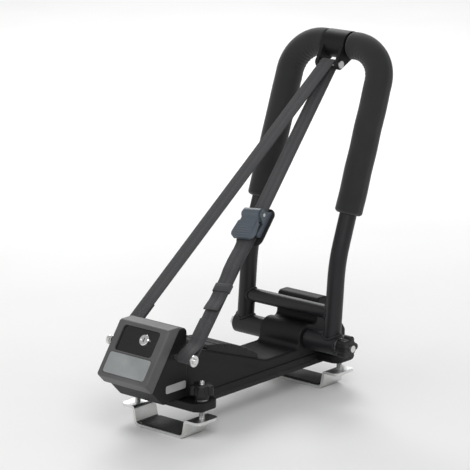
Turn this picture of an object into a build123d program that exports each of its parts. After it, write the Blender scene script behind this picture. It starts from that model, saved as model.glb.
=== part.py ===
from build123d import *

import os
from math import atan2, cos, degrees, hypot, radians, sin, tan

# J-style kayak carrier for one crossbar: wedge base, nose lock, folding padded arm and cinch strap.
# Frame: +X inboard along the crossbar, +Y to the rear, +Z up; millimetres and degrees.
# Origin: on the bar seat, halfway between the two clamps.

# Crossbar that the clamps take
bar_width = 80.0
bar_height = 30.0
bar_clearance = 2.0

# Clearances
fit = 0.15
running = 0.06
body_gap = 0.3

# Base beam
clamp_spacing = 300.0
beam_width = 76.0
beam_wall = 4.0
beam_edge_radius = 3.0
foot_corner = 2.0
front_corner = 5.0
crest_blend = 12.0
saddle_blend = 40.0
tail_corner = 10.0
front_overhang = 8.0
rear_overhang = 42.0
seat_thickness = 6.0
seat_margin = 4.0
seat_corner = 8.0
wedge_height = 80.0
crest_length = 32.0
saddle_height = 33.0
saddle_length = 93.0
tail_height = 40.0
rib_thickness = 3.0
rib_pitch = 50.0
recess_margin = 11.0
recess_depth = 1.5

# Lower cradle pad
lower_pad_thickness = 14.0
lower_pad_side_margin = 3.0
lower_pad_end_margin = 10.0
lower_pad_groove = 2.5
lower_pad_groove_pitch = 15.0
lower_pad_groove_margin = 8.0
lower_pad_rim = 2.5

# Clamps
bolt_diameter = 8.0
knob_radius = 17.5
knob_gap = 4.5
knob_height = 20.0
knob_hub_height = 7.0
knob_lobes = 5
knob_edge = 2.5
washer_thickness = 1.6
ear_length = 44.0
ear_thickness = 12.0
ear_margin = 14.0
ear_rim_radius = 2.0
jaw_thickness = 4.0
jaw_length = 44.0
jaw_side_run = 5.0
jaw_bend = 5.0
jaw_flange_gap = 15.0
jaw_corner = 8.0
liner_thickness = 3.0
liner_margin = 2.0
liner_corner = 4.0
bolt_head_radius = 7.5
bolt_head_height = 4.5
bolt_end = 5.0

# Hinge of the arm
hinge_setback = 45.0
hinge_height = 44.0
hinge_boss_radius = 21.0
boss_blend = 7.0
boss_margin = 4.0
pivot_diameter = 10.0
bush_radius = 7.5
bush_flange_radius = 12.0
bush_flange = 2.0
bush_length = 16.0
eye_radius = 15.0
pivot_head_height = 6.5
pivot_bolt_tip = 4.0

# Arm bow
tube_diameter = 25.0
tube_wall = 2.0
leg_spread = 164.0
lower_leg = 120.0
lower_lean = 5.0
upper_leg = 310.0
upper_lean = 20.0
knee_radius = 200.0
corner_radius = 50.0
brace_rise = 45.0
brace_diameter = 20.0
drain_diameter = 6.0
sleeve_diameter = 40.0
sleeve_start = 70.0
sleeve_edge = 4.0

# Heel that stops the arm
bumper_thickness = 6.0
bumper_height = 20.0
bumper_width = 50.0
bumper_slant = 2.0
bumper_drop = 4.0
heel_length = 24.0
heel_corner = 7.0
heel_blend = 16.0
heel_foot_rise = 10.0

# Nose block
face_lean = 35.0
nose_reach = 71.0
nose_width = 84.0
nose_edge = 4.0
nose_top_corner = 7.0
nose_foot_corner = 8.0
face_mid_height = 82.0
chin_lean = 46.0
chin_margin = 5.5
chin_wall = 3.6
bezel_wall = 5.0
bezel_plate = 6.0
bezel_depth = 24.0
bezel_edge = 4.0
bezel_top_corner = 6.0
bezel_lip = 1.5
window_width = 68.0
window_height = 38.0
window_mid = 27.0
window_margin = 4.0
window_recess = 2.5
window_corner = 5.0
lock_plate_flange = 3.0
lock_plate_lap = 4.0
paddle_width = 76.0
paddle_height = 31.0
paddle_mid = -10.5
paddle_proud = 1.0
paddle_gap = 0.5
paddle_corner = 4.0
paddle_travel = 7.0
dish_radius = 11.0
dish_depth = 1.2
latch_thickness = 5.0
latch_drop = 7.0
latch_neck = 5.0
latch_rise = 10.0
latch_back = 8.0
latch_room = 2.0
spring_offset = 24.0
spring_length = 15.0
spring_radius = 4.5
spring_wire = 1.2
lock_side = 10.0
lock_up = 31.0
lock_rim_radius = 8.0
lock_barrel_radius = 7.0
lock_barrel_depth = 20.0
rotor_radius = 5.0
key_slot_width = 1.6
key_slot_height = 6.5
key_slot_depth = 8.0
cam_thickness = 3.0
cam_reach = 15.0
nose_screw_diameter = 5.0
nose_screw_grip = 14.0
nose_screw_head = 3.0
nose_screw_offset = 22.0
nose_screw_height = 52.0

# Strap and its pin, guide and buckle
strap_width = 25.0
strap_thickness = 2.0
strap_pin_depth = 38.0
strap_pin_up = 28.0
strap_pin_diameter = 8.0
strap_pin_groove = 5.6
strap_pin_tip = 3.0
strap_pin_grip = 6.0
guide_reach = 36.0
guide_wall = 8.0
guide_ear = 5.0
guide_play = 2.5
peen_length = 2.5
strap_bar_diameter = 8.0
buckle_ratio = 0.45
buckle_width = 34.0
buckle_front = 22.0
buckle_bar_back = 18.0
buckle_bar_radius = 2.0
buckle_bar_gap = 8.0
buckle_cheek = 3.0
cheek_radius = 6.0
cheek_foot = 3.0
buckle_pin_radius = 2.5
cam_forward = 8.0
cam_rise = 10.5
cam_gap = 0.5
lever_length = 42.0
lever_width = 42.0
lever_thickness = 4.5
lever_neck = 13.0
lever_corner = 9.0
lever_arm_height = 7.5
buckle_pad_length = 64.0
buckle_pad_margin = 5.0
buckle_pad_corner = 12.0
buckle_pad_thickness = 3.0
tail_length = 150.0
tail_rise = 5.5
lift_start = 1.0
lift_end = 9.0
lift_skew = 0.5

# Derived positions of the base
clamp_x = clamp_spacing / 2
beam_half = beam_width / 2
front_x = -(clamp_x + front_overhang)
rear_x = clamp_x + rear_overhang
crest_x = front_x + crest_length
hinge_x = clamp_x - hinge_setback
hinge_z = hinge_height
slope_end_x = hinge_x - saddle_length
ear_top = seat_thickness + ear_thickness
jaw_inner_y = bar_width / 2 + bar_clearance
jaw_side_y = jaw_inner_y + jaw_side_run
bolt_y = max(
    beam_half + knob_gap + knob_radius,
    jaw_side_y + 1.3 * jaw_thickness + bolt_head_radius,
)
ear_half = bolt_y + ear_margin
jaw_floor_z = -(bar_height + liner_thickness)
jaw_flange_z = seat_thickness - jaw_flange_gap
knob_bottom = ear_top + washer_thickness + body_gap
bolt_top = knob_bottom + knob_height + bolt_end

# Derived positions of the arm, in the XZ plane
tube_radius = tube_diameter / 2
sleeve_radius = sleeve_diameter / 2
leg_y = leg_spread / 2
lower_dir = (sin(radians(lower_lean)), cos(radians(lower_lean)))
upper_dir = (sin(radians(upper_lean)), cos(radians(upper_lean)))
knee_x = hinge_x + lower_leg * lower_dir[0]
knee_z = hinge_z + lower_leg * lower_dir[1]
arch_x = knee_x + upper_leg * upper_dir[0]
arch_z = knee_z + upper_leg * upper_dir[1]
brace_x = hinge_x + brace_rise * lower_dir[0]
brace_z = hinge_z + brace_rise * lower_dir[1]
eye_inner = beam_half + bush_flange + body_gap
eye_outer = leg_y + tube_radius + 0.5
pivot_radius = pivot_diameter / 2


def beside_arm(rise, back):
    """Point at a height along the lower leg and a distance behind its axis, as (x, z)."""
    x = hinge_x + rise * lower_dir[0] + back * lower_dir[1]
    z = hinge_z + rise * lower_dir[1] - back * lower_dir[0]
    return (x, z)


# Derived positions of the nose, in the XZ plane
face_sin = sin(radians(face_lean))
face_cos = cos(radians(face_lean))
face_tan = tan(radians(face_lean))
face_mid_x = front_x - nose_reach
nose_bottom = ear_top + 1.0
nose_half = nose_width / 2
bezel_half = nose_half + bezel_wall
window_top = window_mid + window_height / 2
nose_top = face_mid_height + (window_top + window_margin) * face_cos - bezel_plate * face_sin
bezel_top = nose_top + bezel_wall
face_plane = Plane(
    origin=(face_mid_x, 0, face_mid_height),
    x_dir=(0, -1, 0),
    z_dir=(-face_cos, 0, face_sin),
)
face_axis = Axis(face_plane.origin, face_plane.z_dir)


def face_x(z, depth=0.0):
    """X of the sloping front at height z, a given depth behind its surface."""
    return face_mid_x + (z - face_mid_height) * face_tan + depth / face_cos


def behind_face(up, depth):
    """Point a distance up the sloping front from its middle and a depth behind it, as (x, z)."""
    x = face_mid_x + up * face_sin + depth * face_cos
    z = face_mid_height + up * face_cos - depth * face_sin
    return (x, z)


chin_x, chin_z = behind_face(paddle_mid - paddle_height / 2 - chin_margin, 0.0)
chin_cos = cos(radians(chin_lean))
chin_sin = sin(radians(chin_lean))
chin_end = bezel_depth / (chin_cos + chin_sin * face_tan)


def along_chin(run, depth):
    """Point a distance back along the chin from the front's lower edge and a depth above it, as (x, z)."""
    return (chin_x + run * chin_cos + depth * chin_sin, chin_z - run * chin_sin + depth * chin_cos)


def chin_start(depth):
    """Where the chin, at a depth above its surface, meets the back of the bezel's front plate."""
    turn = radians(chin_lean - face_lean)
    return along_chin((bezel_plate - depth * sin(turn)) / cos(turn), depth)


def at_y(y):
    """The XZ plane moved to a given y; its normal points to -Y."""
    return Plane.XZ.offset(-y)


# Derived positions of the strap
pin_radius = strap_pin_diameter / 2
pin_x, pin_z = behind_face(strap_pin_up, strap_pin_depth)
strap_y = bezel_half + 1.5 + strap_width / 2
reach = hypot(arch_x - pin_x, arch_z - pin_z)
strap_dir = ((arch_x - pin_x) / reach, (arch_z - pin_z) / reach)
bar_x = arch_x - guide_reach * strap_dir[0]
bar_z = arch_z - guide_reach * strap_dir[1]
bar_radius = strap_bar_diameter / 2
strap_run = hypot(bar_x - pin_x, bar_z - pin_z)
along = Vector(strap_dir[0], 0, strap_dir[1])
outward = Vector(-strap_dir[1], 0, strap_dir[0])
pin_loop = pin_radius + fit
bar_loop = bar_radius + fit
strand_offset = max(pin_loop, bar_loop) + strap_thickness / 2
pin_point = Vector(pin_x, 0, pin_z)
bar_point = Vector(bar_x, 0, bar_z)
upper_strand_plane = Plane(
    origin=pin_point + outward * strand_offset, x_dir=along, z_dir=outward
)
buckle_point = pin_point - outward * strand_offset + along * (strap_run * buckle_ratio)
buckle_point = buckle_point - Vector(0, strap_y * (1 - buckle_ratio), 0)
strand_dir = (along * strap_run + Vector(0, strap_y, 0)).normalized()
buckle_plane = Plane(origin=buckle_point, x_dir=strand_dir, z_dir=outward)
buckle_side = Plane(
    origin=buckle_point, x_dir=strand_dir, z_dir=buckle_plane.y_dir * -1
)
upper_strand = hypot(strap_run, strap_y) * (1 - buckle_ratio)
lower_strand = hypot(strap_run, strap_y) * buckle_ratio

os.makedirs("parts", exist_ok=True)


def save(piece, name):
    """Label one sub-part and write its STEP file."""
    piece.part.label = name
    export_step(piece.part, f"parts/{name}.step")


# Base beam: hollow wedge-shaped moulding, open below, with hinge boss and heel
heel_back = brace_diameter / 2 + body_gap + bumper_thickness
heel_rise = brace_rise + bumper_height / 2 + 2.0
heel_foot = beside_arm(heel_foot_rise, heel_back)
heel_front = beside_arm(heel_rise, heel_back)
with BuildPart() as base_beam:
    with BuildSketch(Plane.XZ) as beam_profile:
        with BuildLine():
            FilletPolyline(
                (front_x, seat_thickness),
                (front_x, wedge_height),
                (crest_x, wedge_height),
                (slope_end_x, saddle_height),
                (hinge_x - 0.6 * hinge_boss_radius, saddle_height),
                heel_foot,
                heel_front,
                (heel_front[0] + heel_length, heel_front[1]),
                (rear_x, tail_height),
                (rear_x, seat_thickness),
                radius=[
                    foot_corner,
                    front_corner,
                    crest_blend,
                    saddle_blend,
                    0,
                    0,
                    heel_corner,
                    heel_blend,
                    tail_corner,
                    foot_corner,
                ],
                close=True,
            )
        make_face()
        with Locations((hinge_x, hinge_z)):
            Circle(hinge_boss_radius)
        creases = beam_profile.vertices().filter_by(
            lambda v: abs(hypot(v.X - hinge_x, v.Y - hinge_z) - hinge_boss_radius) < 0.01
        )
        fillet(creases, radius=boss_blend)
    extrude(amount=beam_half, both=True)
    rims = base_beam.edges().filter_by(lambda e: abs(abs(e.center().Y) - beam_half) < 0.01)
    fillet(rims.filter_by(lambda e: e.center().Z > seat_thickness + 0.5), radius=beam_edge_radius)
    with BuildSketch(Plane.XZ) as beam_hollow:
        add(beam_profile.sketch_local)
        offset(amount=-beam_wall)
    extrude(amount=beam_half - beam_wall, both=True, mode=Mode.SUBTRACT)
    with BuildSketch(Plane.XY.offset(seat_thickness)):
        with Locations(((front_x + rear_x) / 2, 0)):
            Rectangle(rear_x - front_x - 4 * beam_wall, beam_width - 2 * beam_wall)
    extrude(amount=2 * beam_wall, mode=Mode.SUBTRACT)
    with BuildSketch(Plane.XZ) as side_recess:
        add(beam_profile.sketch_local)
        offset(amount=-recess_margin)
        with Locations((hinge_x, hinge_z)):
            Circle(hinge_boss_radius + boss_margin, mode=Mode.SUBTRACT)
    for side in (-1, 1):
        with BuildSketch(at_y(side * beam_half)):
            add(side_recess.sketch_local)
        extrude(amount=side * recess_depth, mode=Mode.SUBTRACT)
    rib_count = int((hinge_x - hinge_boss_radius - front_x) / rib_pitch)
    with BuildSketch(Plane.XZ):
        with Locations([(front_x + (i + 0.8) * rib_pitch, 0) for i in range(rib_count)]):
            Rectangle(rib_thickness, 4 * wedge_height)
        add(beam_hollow.sketch_local, mode=Mode.INTERSECT)
    extrude(amount=beam_half - beam_wall / 2, both=True)
    with BuildSketch(Plane.XZ):
        with Locations((hinge_x, hinge_z)):
            Circle(hinge_boss_radius - beam_wall / 2)
    extrude(amount=beam_half - beam_wall / 2, both=True)
    with BuildSketch(Plane.XY.offset(seat_thickness)):
        with GridLocations(clamp_spacing, 0, 2, 1):
            Rectangle(ear_length, beam_width)
    extrude(amount=ear_thickness, mode=Mode.SUBTRACT)
    with BuildSketch(Plane.XZ):
        with Locations((hinge_x, hinge_z)):
            Circle(bush_radius + fit)
    extrude(amount=beam_half, both=True, mode=Mode.SUBTRACT)
    with BuildSketch(Plane.YZ.offset(front_x)):
        with Locations((0, nose_screw_height)):
            with GridLocations(2 * nose_screw_offset, 0, 2, 1):
                Circle(nose_screw_diameter / 2 + 0.25)
    extrude(amount=2 * beam_wall, mode=Mode.SUBTRACT)
save(base_beam, "base_beam")

# Clamp bridges: crosspieces let into the underside of the beam, with an ear and a bolt hole each side
with BuildPart() as clamp_bridges:
    with BuildSketch(Plane.XY.offset(seat_thickness)):
        with GridLocations(clamp_spacing, 0, 2, 1):
            RectangleRounded(ear_length, 2 * ear_half, ear_margin - 1.0)
    extrude(amount=ear_thickness)
    ear_rims = clamp_bridges.edges().group_by(Axis.Z)[-1]
    fillet(ear_rims, radius=ear_rim_radius)
    with Locations(Plane.XY.offset(ear_top)):
        with GridLocations(clamp_spacing, 2 * bolt_y, 2, 2):
            Hole(bolt_diameter / 2 + 0.5, depth=ear_thickness)
save(clamp_bridges, "clamp_bridges")

# Bar seat: one long rubber pad whose flat underside rests on the crossbar
with BuildPart() as bar_seat:
    with BuildSketch(Plane.XY):
        with Locations(((front_x + rear_x) / 2, 0)):
            RectangleRounded(
                rear_x - front_x - 2 * seat_margin, beam_width - seat_margin, seat_corner
            )
    extrude(amount=seat_thickness)
save(bar_seat, "bar_seat")

# Lower cradle pad: ribbed rubber block on the sloping top of the beam
slope_angle = atan2(saddle_height - wedge_height, slope_end_x - crest_x)
slope_length = hypot(slope_end_x - crest_x, saddle_height - wedge_height)
lower_pad_length = slope_length - crest_blend - 2 * lower_pad_end_margin
slope_plane = Plane(
    origin=((crest_x + slope_end_x) / 2, 0, (wedge_height + saddle_height) / 2),
    x_dir=(cos(slope_angle), 0, sin(slope_angle)),
    z_dir=(0, -1, 0),
)
with BuildPart() as lower_pad:
    with BuildSketch(slope_plane):
        with BuildLine():
            half = lower_pad_length / 2
            lip = lower_pad_thickness * 0.45
            Line((-half, 0), (half, 0))
            Line((half, 0), (half, lip))
            ThreePointArc((half, lip), (0, lower_pad_thickness), (-half, lip))
            Line((-half, lip), (-half, 0))
        make_face()
    extrude(amount=beam_half - lower_pad_side_margin, both=True)
    fillet(lower_pad.faces().sort_by(Axis.Z)[-1].edges(), radius=lower_pad_rim)
    groove_count = int((lower_pad_length - 2 * lower_pad_groove_margin) / lower_pad_groove_pitch)
    crown = lower_pad_thickness - lip
    crown_radius = (half * half + crown * crown) / (2 * crown)
    groove_tops = []
    for i in range(groove_count):
        along_pad = (i - (groove_count - 1) / 2) * lower_pad_groove_pitch
        drop = crown_radius - (crown_radius**2 - along_pad**2) ** 0.5
        groove_tops.append((along_pad, lower_pad_thickness - drop + 0.8))
    with BuildSketch(slope_plane):
        with Locations(groove_tops):
            Circle(lower_pad_groove)
    extrude(amount=beam_half, both=True, mode=Mode.SUBTRACT)
save(lower_pad, "lower_pad")

# Nose housing: block with the paddle recess, latch slot, lock bore and strap pin bore
chin_foot = (chin_z + chin_wall * chin_cos - nose_bottom) / chin_sin
recess_floor = bezel_plate + paddle_travel + 1.0
latch_rear = strap_pin_depth + latch_back
latch_low = paddle_mid - latch_drop
latch_high = strap_pin_up + latch_rise
slot_depth = latch_rear + paddle_travel + latch_room
with BuildPart() as nose_housing:
    with BuildSketch(Plane.XZ):
        with BuildLine():
            FilletPolyline(
                (front_x, nose_bottom),
                (front_x, nose_top),
                (face_x(nose_top, bezel_plate), nose_top),
                chin_start(chin_wall),
                along_chin(chin_foot, chin_wall),
                radius=[foot_corner, nose_top_corner, 0, 0, nose_foot_corner],
                close=True,
            )
        make_face()
    extrude(amount=nose_half, both=True)
    edges = nose_housing.edges().filter_by(lambda e: abs(abs(e.center().Y) - nose_half) < 0.01)
    fillet(
        edges.filter_by(lambda e: e.center().X > face_x(e.center().Z) + bezel_depth + bezel_top_corner),
        radius=nose_edge,
    )
    with BuildSketch(face_plane.offset(-bezel_plate)):
        with Locations((0, paddle_mid)):
            Rectangle(paddle_width + 2 * paddle_gap, paddle_height + 2 * paddle_gap)
    extrude(amount=-(recess_floor - bezel_plate), mode=Mode.SUBTRACT)
    with BuildSketch(face_plane.offset(-bezel_plate)):
        with Locations((0, window_mid)):
            Rectangle(window_width + 2 * lock_plate_lap + 2 * fit, window_height)
    extrude(amount=-lock_plate_flange, mode=Mode.SUBTRACT)
    with BuildSketch(face_plane.offset(-recess_floor)):
        with Locations((0, paddle_mid)):
            with GridLocations(2 * spring_offset, 0, 2, 1):
                Circle(spring_radius + spring_wire)
    extrude(amount=-(bezel_plate + spring_length - recess_floor), mode=Mode.SUBTRACT)
    with BuildSketch(face_plane.offset(-bezel_plate)):
        with Locations((0, (latch_low + latch_high) / 2)):
            Rectangle(2 * latch_thickness, latch_high - latch_low + 2 * latch_room)
    extrude(amount=-(slot_depth - bezel_plate), mode=Mode.SUBTRACT)
    with BuildSketch(face_plane.offset(-bezel_plate)):
        with Locations((lock_side, lock_up)):
            Circle(lock_barrel_radius + fit)
    extrude(amount=-(lock_barrel_depth - bezel_plate), mode=Mode.SUBTRACT)
    with BuildSketch(face_plane.offset(-lock_barrel_depth)):
        with Locations((lock_side, lock_up)):
            Circle(cam_reach + 1.5)
    extrude(amount=-(cam_thickness + 1.5), mode=Mode.SUBTRACT)
    with BuildSketch(Plane.XZ):
        with Locations((pin_x, pin_z)):
            Circle(pin_radius + fit)
    extrude(amount=nose_half, both=True, mode=Mode.SUBTRACT)
    with BuildSketch(Plane.YZ.offset(front_x)):
        with Locations((0, nose_screw_height)):
            with GridLocations(2 * nose_screw_offset, 0, 2, 1):
                Circle(nose_screw_diameter / 2 + 0.05)
    extrude(amount=-(nose_screw_grip + 0.5), mode=Mode.SUBTRACT)
save(nose_housing, "nose_housing")

# Nose bezel: frame wrapped around the front of the housing, open for lock plate and paddle
with BuildPart() as nose_bezel:
    with BuildSketch(Plane.XZ):
        with BuildLine():
            FilletPolyline(
                (chin_x, chin_z),
                (face_x(bezel_top), bezel_top),
                (face_x(bezel_top) + bezel_depth, bezel_top),
                along_chin(chin_end, 0.0),
                radius=[bezel_edge, bezel_top_corner, bezel_lip, bezel_lip],
                close=True,
            )
        make_face()
    extrude(amount=bezel_half, both=True)
    edges = nose_bezel.edges().filter_by(lambda e: abs(abs(e.center().Y) - bezel_half) < 0.01)
    fillet(
        edges.filter_by(lambda e: e.center().X < face_x(e.center().Z) + bezel_depth - 2 * bezel_lip),
        radius=bezel_edge,
    )
    with BuildSketch(Plane.XZ):
        with BuildLine():
            high = nose_top + fit
            Polyline(
                chin_start(chin_wall - fit),
                (face_x(high, bezel_plate), high),
                (face_x(high) + 2 * bezel_depth, high),
                along_chin(2 * chin_end, chin_wall - fit),
                close=True,
            )
        make_face()
    extrude(amount=nose_half + fit, both=True, mode=Mode.SUBTRACT)
    with BuildSketch(face_plane):
        with Locations((0, window_mid)):
            RectangleRounded(window_width, window_height, window_corner)
        with Locations((0, paddle_mid)):
            RectangleRounded(
                paddle_width + 2 * paddle_gap,
                paddle_height + 2 * paddle_gap,
                paddle_corner + paddle_gap,
            )
    extrude(amount=bezel_plate, both=True, mode=Mode.SUBTRACT)
save(nose_bezel, "nose_bezel")

# Lock plate: dark window insert, held by a flange behind the bezel
with BuildPart() as lock_plate:
    with BuildSketch(face_plane.offset(-window_recess)):
        with Locations((0, window_mid)):
            RectangleRounded(window_width - 2 * fit, window_height - 2 * fit, window_corner - fit)
    extrude(amount=-(bezel_plate - window_recess))
    with BuildSketch(face_plane.offset(-bezel_plate)):
        with Locations((0, window_mid)):
            Rectangle(window_width + 2 * lock_plate_lap, window_height - 2 * fit)
    extrude(amount=-lock_plate_flange)
    with BuildSketch(face_plane):
        with Locations((lock_side, lock_up)):
            Circle(lock_barrel_radius + fit)
    extrude(amount=-2 * bezel_plate, mode=Mode.SUBTRACT)
save(lock_plate, "lock_plate")

# Lock barrel: chromed sleeve with a rim on the lock plate
with BuildPart() as lock_barrel:
    with BuildSketch(face_plane.offset(0.5)):
        with Locations((lock_side, lock_up)):
            Circle(lock_rim_radius)
    extrude(amount=-(window_recess + 0.5))
    chamfer(lock_barrel.faces().sort_by(face_axis)[-1].edges(), length=0.8)
    with BuildSketch(face_plane.offset(-window_recess)):
        with Locations((lock_side, lock_up)):
            Circle(lock_barrel_radius)
    extrude(amount=-(lock_barrel_depth - window_recess))
    with BuildSketch(face_plane.offset(0.5)):
        with Locations((lock_side, lock_up)):
            Circle(rotor_radius + running)
    extrude(amount=-(lock_barrel_depth + 1.0), mode=Mode.SUBTRACT)
save(lock_barrel, "lock_barrel")

# Lock rotor: key-slotted plug with its tongue behind the barrel
with BuildPart() as lock_rotor:
    with BuildSketch(face_plane):
        with Locations((lock_side, lock_up)):
            Circle(rotor_radius)
    extrude(amount=-(lock_barrel_depth + 0.5))
    with BuildSketch(face_plane.offset(-(lock_barrel_depth + 0.5))):
        with Locations((lock_side, lock_up + (cam_reach - 0.7 * rotor_radius) / 2)):
            SlotOverall(cam_reach + 0.7 * rotor_radius, 1.4 * rotor_radius, rotation=90)
    extrude(amount=-cam_thickness)
    with BuildSketch(face_plane):
        with Locations((lock_side, lock_up)):
            Rectangle(key_slot_width, key_slot_height)
    extrude(amount=-key_slot_depth, mode=Mode.SUBTRACT)
save(lock_rotor, "lock_rotor")

# Release paddle: pale press panel with a thumb dish and a keyhole latch plate that holds the strap pin
paddle_back = bezel_plate
latch_front = lock_barrel_depth + cam_thickness + 1.0
with BuildPart() as release_paddle:
    with BuildSketch(face_plane.offset(paddle_proud)):
        with Locations((0, paddle_mid)):
            RectangleRounded(paddle_width, paddle_height, paddle_corner)
    extrude(amount=-(paddle_proud + paddle_back))
    fillet(release_paddle.faces().sort_by(face_axis)[-1].edges(), radius=1.5)
    dish_ball = (dish_radius**2 + dish_depth**2) / (2 * dish_depth)
    with Locations(face_plane.offset(paddle_proud + dish_ball - dish_depth)):
        with Locations((0, paddle_mid)):
            Sphere(dish_ball, mode=Mode.SUBTRACT)
    with BuildSketch(Plane.XZ):
        with BuildLine():
            Polyline(
                behind_face(latch_low, paddle_back - 2.0),
                behind_face(latch_low, latch_rear),
                behind_face(latch_high, latch_rear),
                behind_face(latch_high, latch_front),
                behind_face(paddle_mid + latch_neck, latch_front),
                behind_face(paddle_mid + latch_neck, paddle_back - 2.0),
                close=True,
            )
        make_face()
        with Locations((pin_x, pin_z)):
            Circle(strap_pin_groove / 2 + 0.3, mode=Mode.SUBTRACT)
        with Locations(behind_face(strap_pin_up, strap_pin_depth - paddle_travel)):
            Circle(pin_radius + 0.3, mode=Mode.SUBTRACT)
        with Locations(behind_face(strap_pin_up, strap_pin_depth - paddle_travel / 2)):
            Rectangle(
                paddle_travel, strap_pin_groove + 0.6, rotation=-face_lean, mode=Mode.SUBTRACT
            )
    extrude(amount=latch_thickness / 2, both=True)
save(release_paddle, "release_paddle")

# Paddle springs: two coil springs behind the paddle
spring_turns = 5
with BuildPart() as paddle_springs:
    for side in (-1, 1):
        spring_foot = face_plane.offset(-(paddle_back + spring_length - spring_wire * 0.6))
        with BuildLine() as coil:
            Helix(
                pitch=(spring_length - 1.2 * spring_wire) / spring_turns,
                height=spring_length - 1.2 * spring_wire,
                radius=spring_radius,
                center=spring_foot.from_local_coords((side * spring_offset, paddle_mid, 0)),
                direction=face_plane.z_dir,
            )
        with BuildSketch(Plane(origin=coil.line @ 0, z_dir=coil.line % 0)):
            Circle(spring_wire / 2)
        sweep(path=coil.line, is_frenet=True)
save(paddle_springs, "paddle_springs")

# Nose screws: two screws that hold the housing to the front wall of the beam
with BuildPart() as nose_screws:
    with BuildSketch(Plane.YZ.offset(front_x + beam_wall)):
        with Locations((0, nose_screw_height)):
            with GridLocations(2 * nose_screw_offset, 0, 2, 1):
                Circle(nose_screw_diameter / 2)
    extrude(amount=-(beam_wall + nose_screw_grip))
    with BuildSketch(Plane.YZ.offset(front_x + beam_wall)):
        with Locations((0, nose_screw_height)):
            with GridLocations(2 * nose_screw_offset, 0, 2, 1):
                Circle(nose_screw_diameter * 0.9)
    extrude(amount=nose_screw_head)
save(nose_screws, "nose_screws")

# Strap pin: grooved cross pin through the housing, with a grip at the rear end
loop_outer_y = strap_y + strap_width / 2
washer_y = loop_outer_y + 0.5
pin_end = washer_y + washer_thickness + strap_pin_tip
with BuildPart() as strap_pin:
    with BuildSketch(at_y(pin_end)):
        with Locations((pin_x, pin_z)):
            Circle(pin_radius)
    extrude(amount=2 * pin_end)
    with BuildSketch(at_y(pin_end + strap_pin_grip)):
        with Locations((pin_x, pin_z)):
            Circle(pin_radius * 1.7)
    extrude(amount=strap_pin_grip)
    fillet(strap_pin.faces().sort_by(Axis.Y)[-1].edges(), radius=2.0)
    chamfer(strap_pin.faces().sort_by(Axis.Y)[0].edges(), length=1.0)
    with BuildSketch(Plane.XZ):
        with Locations((pin_x, pin_z)):
            Circle(pin_radius)
            Circle(strap_pin_groove / 2, mode=Mode.SUBTRACT)
    extrude(amount=latch_thickness / 2 + 0.5, both=True, mode=Mode.SUBTRACT)
save(strap_pin, "strap_pin")

# Strap pin washers: one outside each strap loop
with BuildPart() as strap_pin_washers:
    for side in (-1, 1):
        with BuildSketch(at_y(side * washer_y)):
            with Locations((pin_x, pin_z)):
                Circle(pin_radius * 2.0)
                Circle(pin_radius + 0.02, mode=Mode.SUBTRACT)
        extrude(amount=-side * washer_thickness)
save(strap_pin_washers, "strap_pin_washers")

# Heel bumper: rubber stop that the arm's brace leans on
with BuildPart() as heel_bumper:
    with BuildSketch(Plane.XZ):
        with BuildLine():
            front = heel_back - bumper_thickness
            Polyline(
                beside_arm(brace_rise - bumper_height / 2, heel_back),
                beside_arm(brace_rise - bumper_height / 2 + bumper_slant, front),
                beside_arm(brace_rise + bumper_height / 2 - bumper_drop - bumper_slant, front),
                beside_arm(brace_rise + bumper_height / 2 - bumper_drop, heel_back),
                close=True,
            )
        make_face()
    extrude(amount=bumper_width / 2, both=True)
save(heel_bumper, "heel_bumper")

# Pivot bolt: hinge pin across the base with a hexagon head at the rear
pivot_washer_outer = eye_outer + body_gap + washer_thickness
pivot_knob_start = pivot_washer_outer + body_gap
pivot_bolt_end = pivot_knob_start + knob_height + pivot_bolt_tip
with BuildPart() as pivot_bolt:
    with BuildSketch(at_y(pivot_washer_outer)):
        with Locations((hinge_x, hinge_z)):
            Circle(pivot_radius)
    extrude(amount=pivot_washer_outer + pivot_bolt_end)
    with BuildSketch(at_y(pivot_washer_outer + pivot_head_height)):
        with Locations((hinge_x, hinge_z)):
            RegularPolygon(pivot_radius * 1.8, 6)
    extrude(amount=pivot_head_height)
save(pivot_bolt, "pivot_bolt")

# Pivot bushes: flanged bushes in both ends of the hinge boss
with BuildPart() as pivot_bushes:
    for side in (-1, 1):
        with BuildSketch(at_y(side * beam_half)):
            with Locations((hinge_x, hinge_z)):
                Circle(bush_flange_radius)
        extrude(amount=-side * bush_flange)
        with BuildSketch(at_y(side * beam_half)):
            with Locations((hinge_x, hinge_z)):
                Circle(bush_radius)
        extrude(amount=side * bush_length)
    with BuildSketch(Plane.XZ):
        with Locations((hinge_x, hinge_z)):
            Circle(pivot_radius + running)
    extrude(amount=beam_width, both=True, mode=Mode.SUBTRACT)
save(pivot_bushes, "pivot_bushes")

# Pivot washers: one outside each eye of the arm
with BuildPart() as pivot_washers:
    for side in (-1, 1):
        with BuildSketch(at_y(side * (eye_outer + body_gap))):
            with Locations((hinge_x, hinge_z)):
                Circle(pivot_radius * 2.2)
                Circle(pivot_radius + 0.02, mode=Mode.SUBTRACT)
        extrude(amount=-side * washer_thickness)
save(pivot_washers, "pivot_washers")


def star_knob(base_plane, bore, name):
    """Lobed hand knob with a collar below, standing on a plane."""
    with BuildPart() as knob:
        with BuildSketch(base_plane):
            Circle(knob_radius * 0.6)
        extrude(amount=knob_hub_height)
        with BuildSketch(base_plane.offset(knob_hub_height)):
            Circle(knob_radius * 0.74)
            with PolarLocations(knob_radius * 0.7, knob_lobes):
                Circle(knob_radius * 0.3)
        extrude(amount=knob_height - knob_hub_height)
        knob_axis = Axis(base_plane.origin, base_plane.z_dir)
        fillet(knob.faces().sort_by(knob_axis)[-1].edges(), radius=knob_edge)
        with BuildSketch(base_plane):
            Circle(bore)
        extrude(amount=knob_height, mode=Mode.SUBTRACT)
    save(knob, name)


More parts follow.
